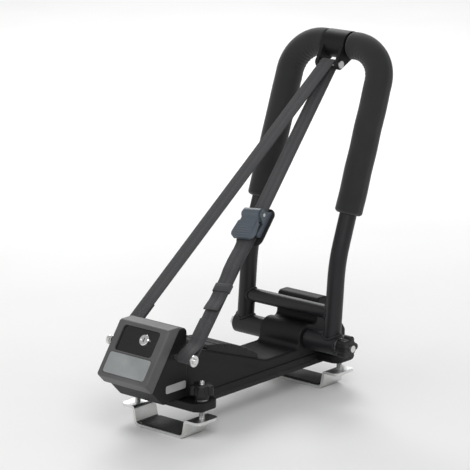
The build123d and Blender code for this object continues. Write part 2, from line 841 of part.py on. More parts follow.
pivot_knob_plane = Plane(
    origin=(hinge_x, -pivot_knob_start, hinge_z), x_dir=(1, 0, 0), z_dir=(0, -1, 0)
)
star_knob(pivot_knob_plane, pivot_radius + running, "pivot_knob")

# Clamps: a formed steel jaw with rubber liner, two bolts and two knobs at each end of the base
for clamp, station in (("outer", -clamp_x), ("inner", clamp_x)):
    jaw_edge = ear_half - 1.0
    with BuildPart() as jaw:
        with BuildSketch(Plane.YZ.offset(station)):
            with BuildLine():
                inner_line = FilletPolyline(
                    (-jaw_edge, jaw_flange_z),
                    (-jaw_side_y, jaw_flange_z),
                    (-jaw_inner_y, jaw_floor_z),
                    (jaw_inner_y, jaw_floor_z),
                    (jaw_side_y, jaw_flange_z),
                    (jaw_edge, jaw_flange_z),
                    radius=jaw_bend,
                )
                offset(inner_line, amount=jaw_thickness, side=Side.RIGHT)
            make_face()
        extrude(amount=jaw_length / 2, both=True)
        corners = jaw.edges().filter_by(Axis.Z).filter_by(lambda e: abs(e.center().Y) > jaw_edge - 0.1)
        fillet(corners, radius=jaw_corner)
        with Locations(Plane.XY.offset(jaw_flange_z)):
            with Locations((station, -bolt_y), (station, bolt_y)):
                Hole(bolt_diameter / 2 + 0.05, depth=jaw_thickness)
    save(jaw, f"{clamp}_jaw")
    with BuildPart() as jaw_liner:
        with BuildSketch(Plane.XY.offset(jaw_floor_z)):
            with Locations((station, 0)):
                RectangleRounded(
                    jaw_length - 2 * liner_margin, 2 * (jaw_inner_y - jaw_bend), liner_corner
                )
        extrude(amount=liner_thickness)
    save(jaw_liner, f"{clamp}_jaw_liner")
    with BuildPart() as bolts:
        head_z = jaw_flange_z - jaw_thickness
        with BuildSketch(Plane.XY.offset(head_z)):
            with Locations((station, -bolt_y), (station, bolt_y)):
                Circle(bolt_diameter / 2)
        extrude(amount=bolt_top - head_z)
        chamfer(bolts.faces().filter_by_position(Axis.Z, bolt_top - 0.1, bolt_top + 0.1).edges(), 1.0)
        with BuildSketch(Plane.XY.offset(head_z)):
            with Locations((station, -bolt_y), (station, bolt_y)):
                RegularPolygon(bolt_head_radius, 6)
        extrude(amount=-bolt_head_height)
    save(bolts, f"{clamp}_bolts")
    for side, y in (("front", -bolt_y), ("rear", bolt_y)):
        knob_plane = Plane(origin=(station, y, knob_bottom), x_dir=(1, 0, 0), z_dir=(0, 0, 1))
        star_knob(knob_plane, bolt_diameter / 2 + running, f"{clamp}_knob_{side}")

# Knob washers: one on each clamp ear
with BuildPart() as knob_washers:
    with BuildSketch(Plane.XY.offset(ear_top)):
        with GridLocations(clamp_spacing, 2 * bolt_y, 2, 2):
            Circle(bolt_diameter * 1.2)
            Circle(bolt_diameter / 2 + 0.5, mode=Mode.SUBTRACT)
    extrude(amount=washer_thickness)
save(knob_washers, "knob_washers")

# Arm bow: bent steel tube with hinge eyes and a brace between its legs, with drain holes
with BuildPart() as arm_bow:
    with BuildLine() as bow_line:
        FilletPolyline(
            (hinge_x, leg_y, hinge_z),
            (knee_x, leg_y, knee_z),
            (arch_x, leg_y, arch_z),
            (arch_x, -leg_y, arch_z),
            (knee_x, -leg_y, knee_z),
            (hinge_x, -leg_y, hinge_z),
            radius=[knee_radius, corner_radius, corner_radius, knee_radius],
        )
    with BuildSketch(Plane(origin=bow_line.line @ 0, z_dir=bow_line.line % 0)):
        Circle(tube_radius)
    sweep(path=bow_line.line)
    for side in (-1, 1):
        with BuildSketch(at_y(side * eye_inner)):
            with Locations((hinge_x, hinge_z)):
                Circle(eye_radius)
        extrude(amount=-side * (eye_outer - eye_inner))
    with BuildSketch(Plane.XZ):
        with Locations((brace_x, brace_z)):
            Circle(brace_diameter / 2)
    extrude(amount=leg_y, both=True)
    hollow_start = eye_radius + tube_wall
    with BuildLine() as hollow_line:
        FilletPolyline(
            (*beside_arm(hollow_start, 0)[:1], leg_y, beside_arm(hollow_start, 0)[1]),
            (knee_x, leg_y, knee_z),
            (arch_x, leg_y, arch_z),
            (arch_x, -leg_y, arch_z),
            (knee_x, -leg_y, knee_z),
            (*beside_arm(hollow_start, 0)[:1], -leg_y, beside_arm(hollow_start, 0)[1]),
            radius=[knee_radius, corner_radius, corner_radius, knee_radius],
        )
    with BuildSketch(Plane(origin=hollow_line.line @ 0, z_dir=hollow_line.line % 0)):
        Circle(tube_radius - tube_wall)
    sweep(path=hollow_line.line, mode=Mode.SUBTRACT)
    drain_x, drain_z = beside_arm(hollow_start + drain_diameter, 0)
    with BuildSketch(Plane.YZ.offset(drain_x)):
        with Locations((-leg_y, drain_z), (leg_y, drain_z)):
            Circle(drain_diameter / 2)
    extrude(amount=2 * tube_diameter, mode=Mode.SUBTRACT)
    with BuildSketch(Plane.XZ):
        with Locations((hinge_x, hinge_z)):
            Circle(pivot_radius + running)
    extrude(amount=leg_spread, both=True, mode=Mode.SUBTRACT)
save(arm_bow, "arm_bow")

# Sleeves: foam-rubber padding around each half of the bow
guide_half = strap_width / 2 + guide_play + guide_ear
sleeve_x = knee_x + sleeve_start * upper_dir[0]
sleeve_z = knee_z + sleeve_start * upper_dir[1]
for name, side in (("sleeve_front", -1), ("sleeve_rear", 1)):
    with BuildPart() as sleeve:
        with BuildLine() as sleeve_line:
            FilletPolyline(
                (sleeve_x, side * leg_y, sleeve_z),
                (arch_x, side * leg_y, arch_z),
                (arch_x, side * (guide_half + 0.5), arch_z),
                radius=corner_radius,
            )
        with BuildSketch(Plane(origin=sleeve_line.line @ 0, z_dir=sleeve_line.line % 0)):
            Circle(sleeve_radius)
            Circle(tube_radius + fit, mode=Mode.SUBTRACT)
        sweep(path=sleeve_line.line)
        fillet(
            sleeve.edges().filter_by(
                lambda e: e.geom_type == GeomType.CIRCLE and abs(e.radius - sleeve_radius) < 0.01
            ),
            radius=sleeve_edge,
        )
    save(sleeve, name)

# Strap guide: moulded collar on the arch with two ears that carry the strap bar
with BuildPart() as strap_guide:
    with BuildSketch(Plane.XZ):
        with Locations((arch_x, arch_z)):
            Circle(tube_radius + guide_wall)
    extrude(amount=guide_half, both=True)
    for side in (-1, 1):
        with BuildSketch(at_y(side * guide_half)) as guide_cheek:
            with Locations((arch_x, arch_z)):
                Circle(tube_radius + guide_wall * 0.75)
            with Locations((bar_x, bar_z)):
                Circle(bar_radius * 2.0)
            make_hull(guide_cheek.edges())
        extrude(amount=side * guide_ear)
    with BuildSketch(Plane.XZ):
        with Locations((arch_x, arch_z)):
            Circle(tube_radius + fit)
        with Locations((bar_x, bar_z)):
            Circle(bar_radius + 0.02)
    extrude(amount=guide_half, both=True, mode=Mode.SUBTRACT)
save(strap_guide, "strap_guide")

# Strap bar: steel bar between the ears, with peened ends
with BuildPart() as strap_bar:
    with BuildSketch(Plane.XZ):
        with Locations((bar_x, bar_z)):
            Circle(bar_radius)
    extrude(amount=guide_half + peen_length, both=True)
    for side in (-1, 1):
        with BuildSketch(at_y(side * guide_half)):
            with Locations((bar_x, bar_z)):
                Circle(bar_radius * 1.4)
        extrude(amount=-side * peen_length)
save(strap_bar, "strap_bar")

# Strap: webbing from the rear pin loop over the strap bar, back through the buckle to its tail
half_width = strap_width / 2
half_thick = strap_thickness / 2
wrap_turn = degrees(atan2(strap_dir[1], strap_dir[0]))
with BuildPart() as strap:
    with BuildSketch(upper_strand_plane.offset(-half_thick)):
        with BuildLine():
            Polyline(
                (0, strap_y - half_width),
                (0, strap_y + half_width),
                (strap_run, half_width),
                (strap_run, -half_width),
                close=True,
            )
        make_face()
    extrude(amount=strap_thickness)
    with BuildSketch(at_y(loop_outer_y)):
        with Locations((pin_x, pin_z)):
            Circle(strand_offset + half_thick)
            Circle(strand_offset - half_thick, mode=Mode.SUBTRACT)
    extrude(amount=strap_width)
    with BuildSketch(Plane.XZ):
        with Locations(Location((bar_x, bar_z, 0), (0, 0, wrap_turn))):
            Circle(strand_offset + half_thick)
            Circle(strand_offset - half_thick, mode=Mode.SUBTRACT)
            Rectangle(
                strap_width, strap_width, align=(Align.MAX, Align.CENTER), mode=Mode.SUBTRACT
            )
    extrude(amount=half_width, both=True)
    with BuildSketch(buckle_side):
        with BuildLine():
            Polyline(
                (upper_strand, -half_thick),
                (upper_strand, half_thick),
                (lift_start, half_thick),
                (-lift_end, tail_rise + half_thick),
                (-tail_length, tail_rise + half_thick),
                (-tail_length, tail_rise - half_thick),
                (-lift_end - lift_skew, tail_rise - half_thick),
                (lift_start - lift_skew, -half_thick),
                close=True,
            )
        make_face()
    extrude(amount=half_width, both=True)
save(strap, "strap")

# Strap tether: short webbing from the front pin loop to the buckle's rear bar
with BuildPart() as strap_tether:
    with BuildSketch(at_y(-loop_outer_y + strap_width)):
        with Locations((pin_x, pin_z)):
            Circle(strand_offset + half_thick)
            Circle(strand_offset - half_thick, mode=Mode.SUBTRACT)
    extrude(amount=strap_width)
    with BuildSketch(buckle_side):
        with BuildLine():
            Polyline(
                (-lower_strand, -half_thick),
                (-lower_strand, half_thick),
                (-buckle_bar_back - buckle_bar_radius - fit, half_thick),
                (-buckle_bar_back - buckle_bar_radius - fit, -half_thick),
                close=True,
            )
        make_face()
        with Locations((-buckle_bar_back, 0)):
            Circle(buckle_bar_radius + fit + strap_thickness)
            Circle(buckle_bar_radius + fit, mode=Mode.SUBTRACT)
    extrude(amount=half_width, both=True)
save(strap_tether, "strap_tether")

# Buckle frame: cast base plate with two cheeks and a rear bar
cheek_inner = buckle_width / 2 - buckle_cheek
plate_top = -half_thick - body_gap
plate_bottom = -(buckle_bar_radius + fit + strap_thickness + body_gap)
plate_back = buckle_bar_gap - buckle_bar_back
with BuildPart() as buckle_frame:
    with BuildSketch(buckle_side):
        with BuildLine():
            FilletPolyline(
                (plate_back, plate_bottom),
                (buckle_front, plate_bottom),
                (buckle_front, plate_top),
                (plate_back, plate_top),
                radius=0.5,
                close=True,
            )
        make_face()
    extrude(amount=buckle_width / 2, both=True)
    for side in (-1, 1):
        with BuildSketch(buckle_side.offset(side * buckle_width / 2)) as cheek:
            with Locations((cam_forward, cam_rise)):
                Circle(cheek_radius)
            with Locations(
                (plate_back + cheek_radius + cheek_foot, plate_bottom + cheek_foot),
                (buckle_front - cheek_radius, plate_bottom + cheek_foot),
            ):
                Circle(cheek_foot)
            make_hull(cheek.edges())
        extrude(amount=-side * buckle_cheek)
        with BuildSketch(buckle_side.offset(side * buckle_width / 2)) as rail:
            with Locations((-buckle_bar_back, 0)):
                Circle(-plate_bottom)
            with Locations((0, plate_bottom + cheek_foot)):
                Circle(cheek_foot)
            make_hull(rail.edges())
        extrude(amount=-side * buckle_cheek)
    with BuildSketch(buckle_side):
        with Locations((-buckle_bar_back, 0)):
            Circle(buckle_bar_radius)
    extrude(amount=buckle_width / 2, both=True)
    with BuildSketch(buckle_side):
        with Locations((cam_forward, cam_rise)):
            Circle(buckle_pin_radius + 0.02)
    extrude(amount=buckle_width, both=True, mode=Mode.SUBTRACT)
save(buckle_frame, "buckle_frame")

# Buckle pin: pivot of the cam lever
with BuildPart() as buckle_pin:
    with BuildSketch(buckle_side):
        with Locations((cam_forward, cam_rise)):
            Circle(buckle_pin_radius)
    extrude(amount=(buckle_width + buckle_cheek) / 2, both=True)
save(buckle_pin, "buckle_pin")

# Buckle lever: cam on the pin with a wide thumb plate
cam_radius = cam_rise - half_thick - cam_gap
lever_inner = cheek_inner - body_gap
lever_bottom = cam_rise - body_gap
with BuildPart() as buckle_lever:
    with BuildSketch(buckle_side):
        with Locations((cam_forward, cam_rise)):
            Circle(cam_radius)
    extrude(amount=lever_inner, both=True)
    with BuildSketch(buckle_side):
        with BuildLine():
            Polyline(
                (cam_forward - lever_length, lever_bottom),
                (cam_forward, lever_bottom - lever_arm_height + lever_thickness),
                (cam_forward, lever_bottom + lever_arm_height - lever_thickness / 3),
                (cam_forward - lever_length, lever_bottom + lever_thickness),
                close=True,
            )
        make_face()
    extrude(amount=lever_inner, both=True)
    with BuildSketch(buckle_plane.offset(lever_bottom)):
        with BuildLine():
            FilletPolyline(
                (cam_forward - lever_length, -lever_width / 2),
                (cam_forward - lever_neck, -buckle_width / 2),
                (cam_forward - lever_neck, buckle_width / 2),
                (cam_forward - lever_length, lever_width / 2),
                radius=[lever_corner, buckle_cheek, buckle_cheek, lever_corner],
                close=True,
            )
        make_face()
    extrude(amount=lever_thickness)
    with BuildSketch(buckle_side):
        with Locations((cam_forward, cam_rise)):
            Circle(buckle_pin_radius + running)
    extrude(amount=buckle_width, both=True, mode=Mode.SUBTRACT)
save(buckle_lever, "buckle_lever")

# Buckle pad: rubber sheet under the buckle
pad_middle = (buckle_front - buckle_bar_back) / 2 - buckle_pad_margin
with BuildPart() as buckle_pad:
    with BuildSketch(buckle_plane.offset(plate_bottom)):
        with Locations((pad_middle, 0)):
            RectangleRounded(
                buckle_pad_length, buckle_width + 2 * buckle_pad_margin, buckle_pad_corner
            )
    extrude(amount=-buckle_pad_thickness)
save(buckle_pad, "buckle_pad")
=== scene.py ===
import logging
import math
from dataclasses import dataclass
from enum import Enum, IntEnum

import bmesh
import bpy
import numpy as np
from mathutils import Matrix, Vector


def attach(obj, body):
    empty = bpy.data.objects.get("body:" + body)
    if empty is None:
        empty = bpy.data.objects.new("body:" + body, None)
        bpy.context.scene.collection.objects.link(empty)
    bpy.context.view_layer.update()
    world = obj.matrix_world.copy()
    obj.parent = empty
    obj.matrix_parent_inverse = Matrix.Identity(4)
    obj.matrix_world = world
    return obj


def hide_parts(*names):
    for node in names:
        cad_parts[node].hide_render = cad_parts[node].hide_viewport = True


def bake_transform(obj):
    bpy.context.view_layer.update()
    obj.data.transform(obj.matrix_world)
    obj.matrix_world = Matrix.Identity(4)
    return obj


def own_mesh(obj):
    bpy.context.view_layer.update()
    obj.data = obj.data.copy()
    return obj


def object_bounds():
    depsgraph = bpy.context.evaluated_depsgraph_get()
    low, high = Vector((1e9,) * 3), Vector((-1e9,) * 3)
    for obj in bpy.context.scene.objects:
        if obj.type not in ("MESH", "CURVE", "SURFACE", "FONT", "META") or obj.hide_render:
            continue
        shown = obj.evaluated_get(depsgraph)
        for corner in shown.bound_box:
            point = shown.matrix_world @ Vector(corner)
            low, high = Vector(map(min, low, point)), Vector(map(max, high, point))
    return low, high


Array = np.ndarray
Number = float | Array
Pair = tuple[float, float]
Point = tuple[float, float, float]
Colour = tuple[float, float, float]
Socket = bpy.types.NodeSocket
Piece = bpy.types.Object

LOG = logging.getLogger("carrier")
TURN = 2 * math.pi
QUARTER = math.pi / 2
EDGE_ANGLE = 50.0  # degrees: faces that meet at more than this keep a sharp edge
POLE = 0.02  # share of a section at which its end stops, for a cap to close
WEAR_SAMPLES = 6  # rays that feel for an edge
WEAR_PATCHES: Pair = (160.0, 4.0)  # cells in a metre, and their detail
Y_AXIS = np.array([0.0, 1.0, 0.0])
AIM: Point = (-0.012, 0.0, 0.214)  # metres: what the camera and the lamps face

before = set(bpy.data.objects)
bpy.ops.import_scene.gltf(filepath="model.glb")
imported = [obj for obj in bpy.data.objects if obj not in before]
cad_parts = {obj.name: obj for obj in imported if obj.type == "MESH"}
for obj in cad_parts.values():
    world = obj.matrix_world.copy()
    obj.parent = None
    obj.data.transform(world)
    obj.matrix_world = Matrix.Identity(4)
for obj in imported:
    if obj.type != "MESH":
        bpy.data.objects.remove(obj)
CAD_BOX = [list(corner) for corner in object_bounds()]


class Slot(str, Enum):
    """Material slots of the record, passed with new pieces but not used."""

    FOAM = "sleeve_foam"
    RUBBER = "pad_rubber"
    WEBBING = "webbing"
    ZINC = "zinc_steel"
    TUBE = "tube_black"
    BUCKLE = "buckle_metal"
    PALE = "paddle_grey"


class Stretch(str, Enum):
    """The two stretches of the strap, by the body at the far end of each."""

    ARM = "arm"
    BUCKLE = "buckle"


class Way(IntEnum):
    """A sign along one axis."""

    @property
    def word(self) -> str:
        """The sign as it stands in the names of pieces."""
        return self.name.lower()


class Side(Way):
    """Front and rear of the carrier, as the sign of y."""

    FRONT = -1
    REAR = 1


class Clamp(Way):
    """Outer and inner clamp, as the sign of x."""

    OUTER = -1
    INNER = 1


# ---------------------------------------------------------------- shapes


def unit(vectors: Array) -> Array:
    """Each vector divided by its length."""
    return vectors / np.linalg.norm(vectors, axis=-1, keepdims=True)


def ease(x: Number, span: Pair) -> Number:
    """Smooth step from 0 at the span's first end to 1 at its second, flat at both."""
    t = np.clip((x - span[0]) / (span[1] - span[0]), 0.0, 1.0)
    return t * t * (3.0 - 2.0 * t)


def circle(sides: int) -> Array:
    """Angles of a whole turn, with the first place again at the end."""
    return np.linspace(0, TURN, sides + 1)


def closed_up(path: Array) -> Array:
    """A path with its first point again at the end."""
    return np.concatenate([path, path[:1]])


def run_length(path: Array) -> Array:
    """Distance along a path at each of its points, from 0."""
    steps = np.linalg.norm(np.diff(path, axis=0), axis=1)
    return np.concatenate([[0.0], np.cumsum(steps)])


def tangents(path: Array, closed: bool = False) -> Array:
    """Direction of a path at each point, from its two neighbours.

    Args:
        path: points of the path, (n, 3).
        closed: whether the path joins up with itself.

    Returns:
        A unit vector for each point, (n, 3).
    """
    if closed:
        return unit(np.roll(path, -1, axis=0) - np.roll(path, 1, axis=0))
    return unit(np.gradient(path, axis=0))


@dataclass(frozen=True)
class Grid:
    """A surface as rows of points, with its lengths along and across for the weave.

    A list of lengths one longer than the points closes the surface in that direction.
    """

    points: Array
    along: Array
    across: Array
    caps: bool = False

    def cells(self) -> tuple[Array, Array, Array]:
        """Corners of every cell.

        Returns:
            Their rows and columns, counted on past a seam, and the numbers of their points.
        """
        rows, cols = np.meshgrid(
            np.arange(len(self.along) - 1), np.arange(len(self.across) - 1), indexing="ij"
        )
        rows = np.stack([rows, rows, rows + 1, rows + 1], axis=-1).reshape(-1, 4)
        cols = np.stack([cols, cols + 1, cols + 1, cols], axis=-1).reshape(-1, 4)
        count_rows, count_cols = self.points.shape[:2]
        return rows, cols, (rows % count_rows) * count_cols + cols % count_cols

    def ends(self) -> Array:
        """Faces that cap both ends.

        Returns:
            Numbers of the points round the first row, backwards, and round the last.
        """
        count_rows, count_cols = self.points.shape[:2]
        ring = np.arange(count_cols)
        return np.stack([ring[::-1], ring + (count_rows - 1) * count_cols])

    def write(self, name: str) -> Piece:
        """Make a mesh object of the grid, with its lengths in metres as its UV map.

        Args:
            name: name of the piece.

        Returns:
            The new object, linked to the scene.
        """
        rows, cols, faces = self.cells()
        polygons = faces.tolist()
        uv = np.stack([self.along[rows], self.across[cols]], axis=-1).reshape(-1, 2)
        if self.caps:
            polygons += self.ends().tolist()
            uv = np.concatenate([uv, np.zeros((self.ends().size, 2))])
        mesh = bpy.data.meshes.new(name)
        mesh.from_pydata(self.points.reshape(-1, 3).tolist(), [], polygons)
        mesh.uv_layers.new(name="cloth").data.foreach_set("uv", uv.ravel())
        return link_mesh(name, mesh)


def link_mesh(name: str, mesh: bpy.types.Mesh) -> Piece:
    """Turn the faces outwards, shade them smooth up to the edge angle and link the mesh.

    Args:
        name: name of the piece.
        mesh: its mesh, already filled.

    Returns:
        The new object, linked to the scene.
    """
    work = bmesh.new()
    work.from_mesh(mesh)
    bmesh.ops.recalc_face_normals(work, faces=work.faces)
    work.to_mesh(mesh)
    work.free()
    mesh.polygons.foreach_set("use_smooth", np.ones(len(mesh.polygons), bool))
    mesh.set_sharp_from_angle(angle=math.radians(EDGE_ANGLE))
    piece = bpy.data.objects.new(name, mesh)
    bpy.context.scene.collection.objects.link(piece)
    return piece


def copies(name: str, shape: Grid, places: Array, axes: Array) -> Piece:
    """Repeat one small capped grid at many places in a single mesh.

    Args:
        name: name of the piece.
        shape: the small surface, in its own axes.
        places: centre of each copy, (n, 3).
        axes: the three axes of each copy as rows, (n, 3, 3).

    Returns:
        The new object: every point of the shape times the axes, plus the place.
    """
    local = shape.points.reshape(-1, 3)
    points = np.einsum("kj,njc->nkc", local, axes) + places[:, None]
    steps = np.arange(len(places))[:, None, None] * len(local)
    polygons = []
    for faces in (shape.cells()[2], shape.ends()):
        polygons += (faces + steps).reshape(-1, faces.shape[1]).tolist()
    mesh = bpy.data.meshes.new(name)
    mesh.from_pydata(points.reshape(-1, 3).tolist(), [], polygons)
    return link_mesh(name, mesh)


def ring_bead(path: Array, radius: Array, sides: int) -> Grid:
    """Round section of varying radius carried along a closed path.

    Args:
        path: points of the centre line, (n, 3).
        radius: radius at each point, (n,).
        sides: points round the section.

    Returns:
        The surface: each path point plus its radius times the turning pair of side directions.
    """
    forward = tangents(path, closed=True)
    flat = np.eye(3)[int(np.argmin(np.ptp(path, axis=0)))]
    side = unit(np.cross(forward, flat))
    up = np.cross(side, forward)
    turn = circle(sides)
    cos, sin = np.cos(turn[:-1])[:, None], np.sin(turn[:-1])[:, None]
    spokes = side[:, None] * cos + up[:, None] * sin
    points = path[:, None] + spokes * radius[:, None, None]
    return Grid(points, run_length(closed_up(path)), turn * float(radius.mean()))


def capsule(length: float, radius: float, sides: int, rings: int) -> Grid:
    """Rounded bar along its first axis: half circle, straight, half circle, turned round.

    Args:
        length: length over both ends.
        radius: radius of the bar.
        sides: points round the bar.
        rings: rows from end to end.

    Returns:
        The surface: the sine of the tilt along the bar, its cosine times the turn across it.
    """
    tilt = np.linspace(-QUARTER, QUARTER, rings)
    x = radius * np.sin(tilt) + np.sign(tilt) * (length / 2 - radius)
    r = radius * np.maximum(np.cos(tilt), POLE)
    spin = circle(sides)
    y, z = np.outer(r, np.cos(spin[:-1])), np.outer(r, np.sin(spin[:-1]))
    points = np.stack([np.broadcast_to(x[:, None], y.shape), y, z], axis=-1)
    return Grid(points, x, spin, caps=True)


def rounded_outline(width: float, height: float, corner: float, steps: int) -> Array:
    """Rounded rectangle about its middle, quarter circles joined by straight runs.

    Args:
        width: size along the first axis.
        height: size along the second axis.
        corner: radius of the corners.
        steps: points on each corner.

    Returns:
        Its points, (4 steps, 2): each corner's middle plus the radius times the turn.
    """
    turn = np.linspace(0, QUARTER, steps) + np.arange(4)[:, None] * QUARTER
    signs = np.array([(1, 1), (-1, 1), (-1, -1), (1, -1)])
    middles = signs * [width / 2 - corner, height / 2 - corner]
    arcs = middles[:, None] + corner * np.stack([np.cos(turn), np.sin(turn)], axis=-1)
    return arcs.reshape(-1, 2)


def hexagon(radius: float, corner: float) -> Array:
    """Hexagon about its middle, each corner a sixth of a circle.

    Args:
        radius: distance of the sharp corners from the middle.
        corner: radius of the rounded corners.

    Returns:
        Its points, (24, 2): each corner's middle plus the radius times the turn.
    """
    heads = np.arange(6)[:, None] * TURN / 6
    turn = heads + np.linspace(-1, 1, 4) * TURN / 12
    reach = radius - corner / math.sin(TURN / 6)
    x = reach * np.cos(heads) + corner * np.cos(turn)
    y = reach * np.sin(heads) + corner * np.sin(turn)
    return np.stack([x, y], axis=-1).reshape(-1, 2)


def slab(outline: Array, thick: float, edge: float) -> Grid:
    """Plate with an outline about its middle, standing from 0 to thick along its third axis.

    Args:
        outline: points of the outline, (n, 2).
        thick: thickness of the plate.
        edge: radius of the upper rim.

    Returns:
        The surface: shares of the outline from the middle of the top out to the rim, round the
        edge radius and back below.
    """
    turn = np.linspace(0, QUARTER, 4)
    rim = 1 - edge * (1 - np.sin(turn))[:, None] / outline.max(axis=0)
    above = np.repeat([[POLE], [0.5], [0.9]], 2, axis=1)
    below = np.repeat([[1.0], [0.9], [POLE]], 2, axis=1)
    shares = np.concatenate([above, rim, below])
    levels = np.concatenate([np.full(3, thick), thick - edge * (1 - np.cos(turn)), np.zeros(3)])
    flat = outline * shares[:, None]
    heights = np.broadcast_to(levels[:, None, None], (*flat.shape[:2], 1))
    points = np.concatenate([flat, heights], axis=-1)
    along, around = np.arange(len(levels)) * edge, np.arange(len(outline) + 1) * edge
    return Grid(points, along, around, caps=True)


def plate(size: Pair, corner: float, thick: float, edge: float) -> Grid:
    """Slab with a rounded rectangle as its outline."""
    return slab(rounded_outline(*size, corner, steps=7), thick, edge)


def placed(shape: Grid, origin: Array, axes: Array) -> Grid:
    """A grid turned to three axes, given as rows, and moved to an origin."""
    return Grid(shape.points @ axes + origin, shape.along, shape.across, shape.caps)


def arc(centre: Pair, radius: float, start: float, end: float, steps: int) -> tuple[Array, Array]:
    """Both numbers of the points of an arc, by angles in degrees."""
    turn = np.radians(np.linspace(start, end, steps))
    return centre[0] + radius * np.cos(turn), centre[1] + radius * np.sin(turn)


def ribbon(path: Array, across: Array, width: float, thick: float, start: float = 0.0) -> Grid:
    """Flat band with rounded selvedges carried along a path.

    Args:
        path: points of the centre line, (n, 3).
        across: width direction at each point, (n, 3).
        width: width of the band.
        thick: thickness of the band.
        start: length at which the weave of the first point is counted.

    Returns:
        The surface: a straight top and bottom, joined by half circles of half the thickness.
    """
    half, edge = width / 2, thick / 2
    turn = np.linspace(0, math.pi, 6)
    flat = np.linspace(half - edge, edge - half, 8)[1:-1]
    level = np.full_like(flat, edge)
    bulge, rise = edge * np.sin(turn), edge * np.cos(turn)
    a = np.concatenate([half - edge + bulge, flat, edge - half - bulge, flat[::-1]])
    b = np.concatenate([-rise, level, rise, -level])
    up = unit(np.cross(tangents(path), across))
    points = path[:, None] + across[:, None] * a[:, None] + up[:, None] * b[:, None]
    around = run_length(closed_up(np.stack([a, b], axis=-1)))
    return Grid(points, start + run_length(path), around, caps=True)


# ---------------------------------------------------------------- finishes


